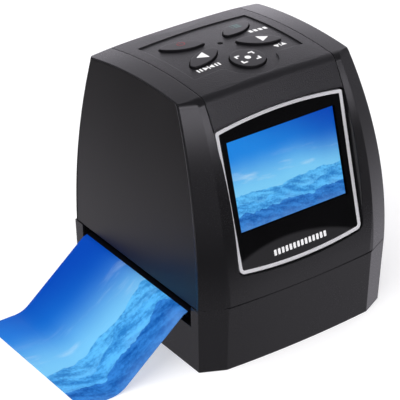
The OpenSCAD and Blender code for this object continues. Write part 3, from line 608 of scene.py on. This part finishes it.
@dataclass(frozen=True)
class PrintedInk:
    """Pad-printed ink, a little uneven, which can carry a painted glow: an emission that makes it brighter
    than the lamps light it.
    """

    name: str
    colour: Colour
    glow: float = 0.0
    thin: float = 0.86

    def make(self) -> bpy.types.Material:
        """Makes the finish.

        Returns:
            The material.
        """
        tree = Finishing(self.name)
        patch = tree.noise(tree.place(), 2.5, 3.0)
        colour = tree.mix(patch, scaled(self.colour, self.thin), self.colour)
        sockets = {"Base Color": colour, "Roughness": 0.45 + patch * 0.15}
        # Painted light: the ink glows in its own colour.
        if self.glow:
            sockets["Emission Color"] = self.colour
            sockets["Emission Strength"] = self.glow
        return tree.close(sockets)


@dataclass(frozen=True)
class ClearGlass:
    """Polished optical glass with a faint coating tint."""

    name: str
    tint: Colour = (0.9, 0.97, 1.0)

    def make(self) -> bpy.types.Material:
        """Makes the finish.

        Returns:
            The material.
        """
        tree = Finishing(self.name)
        haze = tree.noise(tree.place(), 0.6, 2.0)
        return tree.close({
            "Base Color": tree.mix(haze, self.tint, (1.0, 1.0, 1.0)), "Roughness": haze * 0.03,
            "Transmission Weight": 1.0, "IOR": 1.52,
        })


class Ink(Enum):
    """The printed colours."""

    # The white ink's 0.12 is a painted glow that brightens the marks.
    WHITE = PrintedInk("white_ink_painted_glow", (0.86, 0.86, 0.85), 0.12)
    RED = PrintedInk("red_ink", (0.24, 0.035, 0.045))
    GREEN = PrintedInk("green_ink", (0.15, 0.28, 0.27))


class Plastic(Enum):
    """The plastics of the case and of what it holds."""

    SHELL = MouldedPlastic("satin_shell", (0.0075, 0.0073, 0.0082), 0.25, 0.35, 0.012)
    PANEL = MouldedPlastic("satin_panel", (0.0085, 0.0076, 0.0076), 0.32, 0.35, 0.01)
    FASCIA = MouldedPlastic("textured_fascia", (0.0105, 0.0103, 0.0118), 0.35, 0.5, 0.2)
    KEY = MouldedPlastic("satin_key", (0.011, 0.0108, 0.0122), 0.34, 0.3, 0.01, 0.4)
    TRAY = MouldedPlastic("matt_tray", (0.016, 0.016, 0.017), 0.55)
    BLACK = MouldedPlastic("matt_optics", (0.006, 0.006, 0.006), 0.7)
    WHITE = MouldedPlastic("reflector_white", (0.8, 0.8, 0.8), 0.35, 0.3, 0.01, 0.3, 0.04)
    OPAL = MouldedPlastic("opal_diffuser", (0.88, 0.88, 0.88), 0.6, 0.3, 0.01, 0.3, 0.03)
    GREY = MouldedPlastic("display_holder_grey", (0.6, 0.6, 0.6), 0.5, 0.3, 0.01, 0.3, 0.05)
    CHIP = MouldedPlastic("chip_black", (0.012, 0.012, 0.013), 0.5, 0.2, 0.02)
    SENSOR = MouldedPlastic("sensor_glass", (0.05, 0.05, 0.08), 0.1, 0.4, 0.001)
    # Partly painted shade: a smoked pipe, made near-black and almost without gloss so that it reads as a
    # shaded hole.
    LIGHT_PIPE = MouldedPlastic("smoked_light_pipe_and_hole_shade", (0.002, 0.002, 0.002), 0.6, 0.4, 0.002, 0.1, shine=0.05)
    LED = MouldedPlastic("led_cream", (0.85, 0.8, 0.55), 0.3, 0.3, 0.002, 0.2, 0.06)
    RUBBER = MouldedPlastic("matt_rubber", (0.012, 0.012, 0.012), 0.8, 0.4, 0.03)


class Metal(Enum):
    """The metals."""

    SILVER = MilledMetal("silver_trim", (0.86, 0.86, 0.87), 0.4, (0.3, 6.0, 6.0), 0.3)
    STEEL = MilledMetal("plated_steel", (0.56, 0.56, 0.57), 0.32, (4.0, 4.0, 0.5))
    SHEET = MilledMetal("socket_sheet", (0.62, 0.61, 0.59), 0.28, (0.6, 5.0, 5.0))


class Wardrobe:
    """Makes each finish once and puts it on CAD nodes and pieces."""

    def __init__(self) -> None:
        """Starts with no finish made."""
        self.made: dict[str, bpy.types.Material] = {}

    def material(self, finish: object) -> bpy.types.Material:
        """The material of a finish, made at its first use.

        Args:
            finish: a finish, or a name from Ink, Plastic or Metal.

        Returns:
            The material.
        """
        if isinstance(finish, Enum):
            finish = finish.value
        if finish.name not in self.made:
            self.made[finish.name] = finish.make()
        return self.made[finish.name]

    def dress(self, node: str, finish: object) -> None:
        """Gives a CAD node its finish.

        Args:
            node: the node's name.
            finish: its finish.
        """
        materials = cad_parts[node].data.materials
        materials.clear()
        materials.append(self.material(finish))
        log.info("CAD node %s wears %s", node, self.material(finish).name)

    def dress_all(self, finish: object, *nodes: str) -> None:
        """Gives several CAD nodes one finish."""
        for node in nodes:
            self.dress(node, finish)


class Ground:
    """The surface of a CAD node, on which prints are laid. Sizes are in metres."""

    start_back: float = 0.05

    def __init__(self, node: str, down: Vector = Vector((0.0, 0.0, -1.0))) -> None:
        """Reads the node's surface.

        Args:
            node: the CAD node.
            down: the direction in which prints are pressed on.
        """
        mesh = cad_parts[node].data
        self.tree = BVHTree.FromPolygons([v.co for v in mesh.vertices], [p.vertices for p in mesh.polygons])
        self.down = down

    def under(self, point: Vector) -> Vector:
        """The point of the surface straight below a point."""
        hit = self.tree.ray_cast(point - self.down * self.start_back, self.down)[0]
        return hit if hit is not None else point


@dataclass
class Print:
    """A flat printed mark that follows the surface it lies on. Sizes are in millimetres."""

    name: str
    outlines: list[Outline]
    ink: Ink
    lift: float = 0.02
    sunk: float = 0.01

    def lay(self, ground: Ground, place: Matrix, body: str, wardrobe: Wardrobe) -> None:
        """Builds the mark on a surface.

        Args:
            ground: the surface.
            place: takes the outlines' plane, in millimetres, to the row frame, in metres.
            body: the CAD body that carries the mark.
            wardrobe: where finishes come from.
        """
        shape = bmesh.new()
        for outline in self.outlines:
            feet = [ground.under(place @ Vector((x, y, 0.0))) for x, y in outline]
            top, low = (
                [shape.verts.new(foot - ground.down * height * MM) for foot in feet]
                for height in (self.lift, -self.sunk)
            )
            for ring in (top, low):
                self.cover(shape, ring)
            for i in range(len(top)):
                shape.faces.new((top[i], top[i - 1], low[i - 1], low[i]))
        bmesh.ops.recalc_face_normals(shape, faces=shape.faces)
        mesh = bpy.data.meshes.new(self.name)
        shape.to_mesh(mesh)
        shape.free()
        mark = bpy.data.objects.new(self.name, mesh)
        bpy.context.scene.collection.objects.link(mark)
        mesh.materials.append(wardrobe.material(self.ink))
        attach(mark, body)
        log.info("print %s has %d shapes", self.name, len(self.outlines))

    @staticmethod
    def cover(shape: bmesh.types.BMesh, ring: list[bmesh.types.BMVert]) -> None:
        """Fills a ring with rungs between its facing points.

        Args:
            shape: the mesh.
            ring: the ring's corners; the first faces the last, the second the last but one, and so on.
        """
        last = len(ring) - 1
        for i in range(last // 2):
            rung = [ring[i], ring[i + 1], ring[last - i - 1], ring[last - i]]
            shape.faces.new(list(dict.fromkeys(rung)))


def arc(middle: Point, radius: float, start: float, end: float, steps: int = 8) -> Outline:
    """Points along an arc, its angles in degrees."""
    angles = [math.radians(start + (end - start) * i / steps) for i in range(steps + 1)]
    return [(middle[0] + radius * math.cos(a), middle[1] + radius * math.sin(a)) for a in angles]


def circle(middle: Point, radius: float, steps: int = 24) -> Outline:
    """Points round a whole circle."""
    return arc(middle, radius, 0.0, 360.0 - 360.0 / steps, steps - 1)


def rounded(corners: Outline, radius: float, steps: int = 5) -> Outline:
    """Rounds the corners of a polygon.

    Args:
        corners: the polygon, anticlockwise.
        radius: radius of the roundings.
        steps: straight parts of each rounding.

    Returns:
        The rounded outline.
    """
    made = []
    for i, corner in enumerate(corners):
        here = Vector(corner)
        into = (Vector(corners[i - 1]) - here).normalized()
        out = (Vector(corners[(i + 1) % len(corners)]) - here).normalized()
        half = math.acos(max(-1.0, min(1.0, into.dot(out)))) / 2
        middle = here + (into + out).normalized() * (radius / math.sin(half))
        start, end = (here + way * (radius / math.tan(half)) - middle for way in (into, out))
        a = math.degrees(math.atan2(start.y, start.x))
        b = math.degrees(math.atan2(end.y, end.x))
        made += arc(tuple(middle), radius, a, b if b > a else b + 360.0, steps)
    return made


def bar(middle: Point, width: float, height: float, radius: float = 0.15) -> Outline:
    """A rounded rectangle.

    Args:
        middle: its middle.
        width: its width.
        height: its height.
        radius: radius of its corners.

    Returns:
        The outline.
    """
    (x, y), w, h = middle, width / 2, height / 2
    corners = [(x - w, y - h), (x + w, y - h), (x + w, y + h), (x - w, y + h)]
    return rounded(corners, min(radius, 0.48 * min(width, height)))


def band(middle: Point, inner: float, outer: float, start: float, end: float, steps: int = 24) -> Outline:
    """Part of a ring."""
    return arc(middle, outer, start, end, steps) + arc(middle, inner, end, start, steps)


def arrow(middle: Point, side: float, heading: float, radius: float = 0.22) -> Outline:
    """A triangle with rounded corners.

    Args:
        middle: its middle.
        side: length of its sides.
        heading: where it points, in degrees.
        radius: radius of its corners.

    Returns:
        The outline.
    """
    turns = [math.radians(heading + a) for a in (0.0, 120.0, 240.0)]
    reach = side / math.sqrt(3.0)
    corners = [(middle[0] + reach * math.cos(a), middle[1] + reach * math.sin(a)) for a in turns]
    return rounded(corners, radius)


def bracket(corner: Point, arm: Point, stroke: float) -> Outline:
    """An angle with two arms.

    Args:
        corner: its outer corner.
        arm: reach of the arms from the corner, across and up.
        stroke: width of the arms.

    Returns:
        The outline, its points in facing pairs from its ends.
    """
    (x, y), (across, up) = corner, arm
    in_x, in_y = math.copysign(stroke, across), math.copysign(stroke, up)
    outer = [(x + across, y), (x, y), (x, y + up)]
    return outer + [(x + in_x, y + up), (x + in_x, y + in_y), (x + across, y + in_y)]


@dataclass
class CaseShell:
    """Base, upper case and side panels."""

    panels: tuple[str, str] = ("side_panel_left", "side_panel_right")

    def build(self, wardrobe: Wardrobe) -> None:
        """Dresses the shells.

        Args:
            wardrobe: where finishes come from.
        """
        wardrobe.dress_all(Plastic.SHELL, "lower_case", "upper_case")
        wardrobe.dress_all(Plastic.PANEL, *self.panels)
        wardrobe.dress("rubber_feet", Plastic.RUBBER)
        wardrobe.dress("case_screws", Metal.STEEL)


@dataclass
class Keypad:
    """The fascia with its keys, marks and switches. Sizes are in millimetres."""

    keys: dict[str, Point] = field(default_factory=lambda: {
        "power_key": (-12.4, 16.4), "menu_key": (12.4, 16.4),
        "left_key": (-12.4, 3.0), "right_key": (12.4, 3.0), "scan_key": (0.0, -6.8),
    })
    arrow_side: float = 4.9
    stroke: float = 0.42
    power_radius: float = 1.2
    list_rows: tuple[float, ...] = (0.2, 1.4, 2.6)
    focus_reach: Point = (4.1, 3.0)
    focus_arm: Point = (2.1, 1.9)
    focus_stroke: float = 0.75
    focus_dot: float = 1.2
    label_arrow: float = 2.4
    lay_height: float = 100.0

    def build(self, wardrobe: Wardrobe) -> None:
        """Dresses the fascia and the keys, and prints their marks.

        Args:
            wardrobe: where finishes come from.
        """
        wardrobe.dress("top_fascia", Plastic.FASCIA)
        wardrobe.dress_all(Plastic.KEY, *self.keys)
        wardrobe.dress("status_light", Plastic.LIGHT_PIPE)
        wardrobe.dress("key_board", CircuitBoard("key_board_mask"))
        wardrobe.dress("key_switches", Plastic.CHIP)
        wardrobe.dress("key_board_screws", Metal.STEEL)
        for key, outlines, ink in self.key_marks():
            mark = Print(key.replace("_key", "_mark"), outlines, ink)
            mark.lay(Ground(key), self.above(self.keys[key]), key, wardrobe)
        fascia = Ground("top_fascia")
        for name, middle, outlines in self.labels():
            mark = Print(name, outlines, Ink.WHITE)
            mark.lay(fascia, self.above(middle), "case", wardrobe)

    def above(self, middle: Point) -> Matrix:
        """Takes outlines in millimetres to the level plane from which they are laid, around a middle."""
        return Matrix.Translation(Vector((*middle, self.lay_height)) * MM) @ Matrix.Scale(MM, 4)

    def key_marks(self) -> list[tuple[str, list[Outline], Ink]]:
        """The marks on the keys.

        Returns:
            Each key's name, the outlines of its mark around the key's middle, and its ink.
        """
        thick, ring = self.stroke, self.power_radius
        power = [band((0.5, 1.2), ring, ring + thick, 125.0, 415.0), bar((0.5, 2.3), thick, 1.7)]
        lines = [bar((x, y), long, thick) for x, long in ((1.3, 3.0), (-1.0, 0.6)) for y in self.list_rows]
        (reach_x, reach_y), (arm_x, arm_y) = self.focus_reach, self.focus_arm
        corners = [
            bracket((x * reach_x, y * reach_y), (-x * arm_x, -y * arm_y), self.focus_stroke)
            for x in (-1, 1) for y in (-1, 1)
        ]
        return [
            ("power_key", power, Ink.RED),
            ("menu_key", lines, Ink.GREEN),
            ("left_key", [arrow((0.3, 1.0), self.arrow_side, 180.0)], Ink.WHITE),
            ("right_key", [arrow((1.74, 0.05), self.arrow_side, 0.0)], Ink.WHITE),
            ("scan_key", [*corners, circle((0.0, 0.0), self.focus_dot)], Ink.WHITE),
        ]

    def labels(self) -> list[tuple[str, Point, list[Outline]]]:
        """The marks beside the keys: list fields, and two pairs of facing arrows.

        Returns:
            Each mark's name, its middle, and its outlines around the middle.
        """
        side = self.label_arrow
        fields = [bar((-3.3 + 2.2 * i, 0.0), 1.5, 2.0, 0.2) for i in range(4)]
        flip = [arrow((-1.6, 0.0), side, 270.0), bar((0.0, 0.0), 0.4, 2.2), arrow((1.6, 0.0), side, 90.0)]
        mirror = [arrow((-1.5, 0.0), side, 0.0), bar((0.0, 0.0), 0.4, 2.4), arrow((1.5, 0.0), side, 180.0)]
        mirror += [bar((x, 0.0), 0.7, 2.0, 0.1) for x in (-3.3, -4.6, 3.3, 4.6)]
        return [
            ("menu_label", (18.9, 11.7), fields), ("flip_label", (17.2, -3.7), flip),
            ("mirror_label", (-14.9, -3.4), mirror),
        ]


@dataclass
class DisplayWindow:
    """Silver frame, smoked window and lit display. Sizes are in millimetres."""

    middle: Spot = (0.0, -32.16, 69.18)
    tilt: float = 17.07
    picture: Point = (48.96, 34.0)
    picture_low: float = -17.2
    holes: int = 14
    hole: Point = (1.1, 2.2)
    hole_radius: float = 0.25
    pitch: float = 1.76
    row_v: float = -28.4

    def build(self, wardrobe: Wardrobe, picture: Landscape) -> None:
        """Dresses the window and prints the row of film holes under the picture.

        Args:
            wardrobe: where finishes come from.
            picture: what the display shows.
        """
        area = PictureArea(self.picture, self.middle, self.tilt, self.picture_low)
        wardrobe.dress("window_bezel", Metal.SILVER)
        wardrobe.dress("display_frame", Plastic.GREY)
        wardrobe.dress("window_lens", SmokedWindow("smoked_window", area))
        wardrobe.dress("display_panel", LitDisplay("lit_display", picture, area))
        tilt = math.radians(self.tilt)
        out = Vector((0.0, -math.cos(tilt), math.sin(tilt)))
        turn = Matrix.Rotation(math.pi / 2 - tilt, 4, "X")
        place = Matrix.Translation(Vector(self.middle) * MM) @ turn @ Matrix.Scale(MM, 4)
        first = -self.pitch * (self.holes - 1) / 2
        middles = [(first + self.pitch * i, self.row_v) for i in range(self.holes)]
        row = [bar(middle, *self.hole, self.hole_radius) for middle in middles]
        mark = Print("window_mark", row, Ink.WHITE)
        mark.lay(Ground("window_lens", -out), place, "case", wardrobe)


@dataclass
class FilmPath:
    """Film, tray, deck and gate. Sizes are in millimetres."""

    front: float = -31.3
    width: float = 64.4
    bend_x: float = -42.8
    slope: float = 40.0
    # Where the painted shade of the slot begins on the film.
    slot_shade_from_x: float = -43.9

    def build(self, wardrobe: Wardrobe, picture: Landscape) -> None:
        """Dresses the film and what guides it.

        Args:
            wardrobe: where finishes come from.
            picture: what is printed on the film.
        """
        sizes = (self.front, self.width, self.bend_x, self.slope, self.slot_shade_from_x)
        wardrobe.dress_all(Plastic.TRAY, "film_deck", "film_tray", "film_gate")
        wardrobe.dress("film_sheet", FilmPrint("printed_film", picture, *sizes))


@dataclass
class Backlight:
    """The light under the film."""

    mask: Colour = (0.7, 0.7, 0.68)
    track: Colour = (0.6, 0.6, 0.58)

    def build(self, wardrobe: Wardrobe) -> None:
        """Dresses the backlight.

        Args:
            wardrobe: where finishes come from.
        """
        wardrobe.dress("light_board", CircuitBoard("light_board_mask", self.mask, self.track))
        wardrobe.dress("light_leds", Plastic.LED)
        wardrobe.dress("light_box", Plastic.WHITE)
        wardrobe.dress("diffuser_plate", Plastic.OPAL)


@dataclass
class Optics:
    """Hood, lens and image sensor over the film."""

    housings: tuple[str, ...] = ("light_hood", "lens_mount", "lens_barrel")

    def build(self, wardrobe: Wardrobe) -> None:
        """Dresses the optics.

        Args:
            wardrobe: where finishes come from.
        """
        wardrobe.dress_all(Plastic.BLACK, *self.housings)
        wardrobe.dress("lens_glasses", ClearGlass("lens_clear"))
        wardrobe.dress("sensor_board", CircuitBoard("sensor_board_mask"))
        wardrobe.dress("image_sensor", Plastic.SENSOR)
        wardrobe.dress("optics_screws", Metal.STEEL)


@dataclass
class Electronics:
    """Main board with its chips and sockets."""

    sockets: tuple[str, str] = ("usb_socket", "card_socket")

    def build(self, wardrobe: Wardrobe) -> None:
        """Dresses the electronics.

        Args:
            wardrobe: where finishes come from.
        """
        wardrobe.dress("main_board", CircuitBoard("main_board_mask"))
        wardrobe.dress("board_chips", Plastic.CHIP)
        wardrobe.dress_all(Metal.SHEET, *self.sockets)
        wardrobe.dress("main_board_screws", Metal.STEEL)


@dataclass
class Softbox:
    """An area light aimed at a point. Sizes are in metres."""

    name: str
    place: Spot
    size: Point
    power: float
    aim: Spot = (0.0, 0.0, 0.05)

    def build(self) -> None:
        """Hangs the light."""
        light = bpy.data.lights.new(self.name, "AREA")
        light.shape = "RECTANGLE"
        light.size, light.size_y = self.size
        light.energy = self.power
        lamp = bpy.data.objects.new(self.name, light)
        bpy.context.scene.collection.objects.link(lamp)
        lamp.visible_glossy = False
        lamp.location = self.place
        lamp.rotation_euler = (Vector(self.aim) - Vector(self.place)).to_track_quat("-Z", "Y").to_euler()
        log.info("light %s", self.name)


@dataclass(frozen=True)
class Glow:
    """An oval bright patch of the surround, its edge as soft as soft says. Angles are in degrees."""

    azimuth: float
    elevation: float
    width: float
    height: float
    strength: float
    soft: float = 0.8

    def light(self, direction: Socket) -> Socket:
        """How much the patch adds in a direction.

        Args:
            direction: the direction, as a vector.

        Returns:
            The light that it adds.
        """
        a, e = math.radians(self.azimuth), math.radians(self.elevation)
        aim = Vector((math.cos(a) * math.cos(e), math.sin(a) * math.cos(e), math.sin(e)))
        across = Vector((-math.sin(a), math.cos(a), 0.0))
        x = direction.dot(across) / math.sin(math.radians(self.width))
        y = direction.dot(aim.cross(across)) / math.sin(math.radians(self.height))
        off = (x * x + y * y) ** 0.5
        inside = 1.0 - off.step(1.0 - self.soft, 1.0 + self.soft)
        return inside * direction.dot(aim).step(0.0, 0.1) * self.strength


@dataclass(frozen=True)
class Surround:
    """The surround that the gloss reflects: dark at the horizon, with bright patches set by the photograph."""

    floor_near: float = 0.04
    floor_far: float = 0.32
    horizon: float = 0.04
    ceiling: float = 0.12
    tint: Colour = (1.0, 0.965, 1.06)
    glows: tuple[Glow, ...] = (
        Glow(57.0, -4.0, 45.0, 16.0, 1.3),
        Glow(56.0, 26.0, 50.0, 20.0, 0.6, 0.45),
        Glow(-103.0, 36.0, 15.0, 13.0, 3.2, 0.6),
        Glow(-73.0, 25.0, 5.0, 7.0, 5.0, 0.6),
        Glow(-60.0, 23.5, 7.0, 5.0, 2.8, 0.6),
        Glow(-42.0, 14.0, 6.0, 5.0, 3.4, 0.5),
        Glow(-104.0, 1.0, 14.0, 10.0, 0.25),
        Glow(-38.0, -9.0, 5.0, 8.0, 0.45),
        Glow(-57.0, -7.42, 3.6, 3.6, 0.5, 0.015),
        Glow(-8.0, -28.0, 16.0, 13.0, 0.85),
        Glow(-52.0, -29.0, 14.0, 7.0, 0.42),
        Glow(109.0, -29.0, 11.0, 6.0, 1.25),
    )

    def build(self) -> None:
        """Makes the world."""
        world = bpy.data.worlds.new("soft_surround")
        world.use_nodes = True
        tree = NodeTree(world.node_tree)
        direction = tree.node("ShaderNodeTexCoord", {}, {}, "Generated")
        height = direction.part(2)
        light = self.floor_near + height.step(-0.3, -0.6) * (self.floor_far - self.floor_near)
        light = light + height.step(-0.2, -0.09) * (self.horizon - self.floor_near)
        light = light + height.step(0.05, 0.45) * (self.ceiling - self.horizon)
        for glow in self.glows:
            light = light + glow.light(direction)
        tint = tree.vector(light * self.tint[0], light * self.tint[1], light * self.tint[2])
        tree.end("ShaderNodeOutputWorld", tree.node("ShaderNodeBackground", {}, {"Color": tint}))
        bpy.context.scene.world = world


@dataclass
class Studio:
    """Viewpoint, floor and lights. Sizes are in metres, lens and sensor in millimetres, angles in degrees."""

    azimuth: float = -36.91
    elevation: float = 30.82
    roll: float = 0.78
    distance: float = 0.8139
    target: Spot = (-0.01542, 0.0, 0.04577)
    lens: float = 198.0
    sensor: float = 36.0
    clip: Point = (0.02, 20.0)
    floor_radius: float = 1.1
    floor_colour: Colour = (0.6, 0.6, 0.6)
    floor_glow: float = 0.5
    backdrop: tuple[Point, ...] = ((1.1, 0.0), (1.5, 0.04), (1.85, 0.2), (2.1, 0.55), (2.25, 1.2), (2.3, 2.4))
    backdrop_colour: Colour = (0.05, 0.05, 0.05)
    backdrop_glow: float = 0.95
    rim_share: Point = (0.25, 0.95)
    ring_steps: int = 72
    surround: Surround = Surround()
    lights: list[Softbox] = field(default_factory=lambda: [
        Softbox("upper_left_softbox", (-0.55, -0.15, 1.0), (0.9, 0.9), 11.0),
        Softbox("right_softbox", (0.75, 0.1, 0.8), (0.7, 0.7), 3.0),
    ])

    def camera(self) -> None:
        """Sets up the photograph's viewpoint."""
        a, e, r = (math.radians(x) for x in (self.azimuth, self.elevation, self.roll))
        back = Vector((math.sin(a) * math.cos(e), -math.cos(a) * math.cos(e), math.sin(e)))
        right = Vector((math.cos(a), math.sin(a), 0.0))
        up = back.cross(right)
        side = right * math.cos(r) + up * math.sin(r)
        top = up * math.cos(r) - right * math.sin(r)
        data = bpy.data.cameras.new("viewpoint")
        data.lens = self.lens
        data.sensor_width = self.sensor
        data.clip_start, data.clip_end = self.clip
        eye = bpy.data.objects.new("viewpoint", data)
        bpy.context.scene.collection.objects.link(eye)
        turn = Matrix((side, top, back)).transposed().to_4x4()
        eye.matrix_world = Matrix.Translation(Vector(self.target) + back * self.distance) @ turn
        bpy.context.scene.camera = eye

    def turned(self, name: str, profile: Outline, material: bpy.types.Material) -> bpy.types.Object:
        """Turns a profile round the middle of the stage and fills its first ring if it is the only one.

        Args:
            name: the piece's name.
            profile: radius and height of each ring.
            material: its material.

        Returns:
            The piece, left out of reflections.
        """
        shape = bmesh.new()
        rings = [
            [shape.verts.new((x, y, height)) for x, y in circle((0.0, 0.0), radius, self.ring_steps)]
            for radius, height in profile
        ]
        if len(rings) == 1:
            shape.faces.new(rings[0])
        for low, high in zip(rings, rings[1:]):
            for i in range(len(low)):
                shape.faces.new((low[i], low[i - 1], high[i - 1], high[i])).smooth = True
        mesh = bpy.data.meshes.new(name)
        shape.to_mesh(mesh)
        shape.free()
        mesh.materials.append(material)
        piece = bpy.data.objects.new(name, mesh)
        bpy.context.scene.collection.objects.link(piece)
        piece.visible_glossy = False
        log.info("stage piece %s", name)
        return piece

    def floor(self) -> None:
        """Lays the round pale floor, glowing more towards its rim, and stands the pale backdrop round it."""
        tree = Finishing("pale_floor")
        place = tree.place()
        speck = tree.noise(place, 0.02, 2.0)
        out = (place.part(0) * place.part(0) + place.part(1) * place.part(1)) ** 0.5
        rim = out.step(*(self.floor_radius * share / MM for share in self.rim_share))
        glow = tree.mix(rim, (self.floor_glow,) * 3, (self.backdrop_glow,) * 3)
        colour = tree.mix(speck, scaled(self.floor_colour, 0.985), self.floor_colour)
        self.turned("studio_floor", [(self.floor_radius, 0.0)], tree.close({
            "Base Color": tree.mix(rim, colour, self.backdrop_colour), "Roughness": 0.75 + speck * 0.05,
            "Specular IOR Level": 0.0, "Emission Color": glow, "Emission Strength": 1.0,
        }))
        tree = Finishing("pale_backdrop")
        speck = tree.noise(tree.place(), 0.02, 2.0)
        colour = tree.mix(speck, scaled(self.backdrop_colour, 0.97), self.backdrop_colour)
        wall = self.turned("studio_backdrop", list(self.backdrop), tree.close({
            "Base Color": colour, "Roughness": 0.8, "Specular IOR Level": 0.0,
            "Emission Color": (1.0, 1.0, 1.0), "Emission Strength": self.backdrop_glow,
        }))
        wall.visible_diffuse = False
        wall.visible_shadow = False

    def build(self) -> None:
        """Sets up everything but the camera."""
        self.floor()
        self.surround.build()
        for light in self.lights:
            light.build()
        view = bpy.context.scene.view_settings
        view.view_transform = "Standard"
        view.look = "None"


def main() -> None:
    """Sets up the camera, dresses the sub-assemblies in order and lights the studio."""
    logging.basicConfig(level=logging.INFO, format="%(name)s: %(message)s")
    studio = Studio()
    studio.camera()
    wardrobe = Wardrobe()
    picture = Landscape()
    CaseShell().build(wardrobe)
    Keypad().build(wardrobe)
    DisplayWindow().build(wardrobe, picture)
    FilmPath().build(wardrobe, picture)
    Backlight().build(wardrobe)
    Optics().build(wardrobe)
    Electronics().build(wardrobe)
    studio.build()


if __name__ == "__main__":
    main()
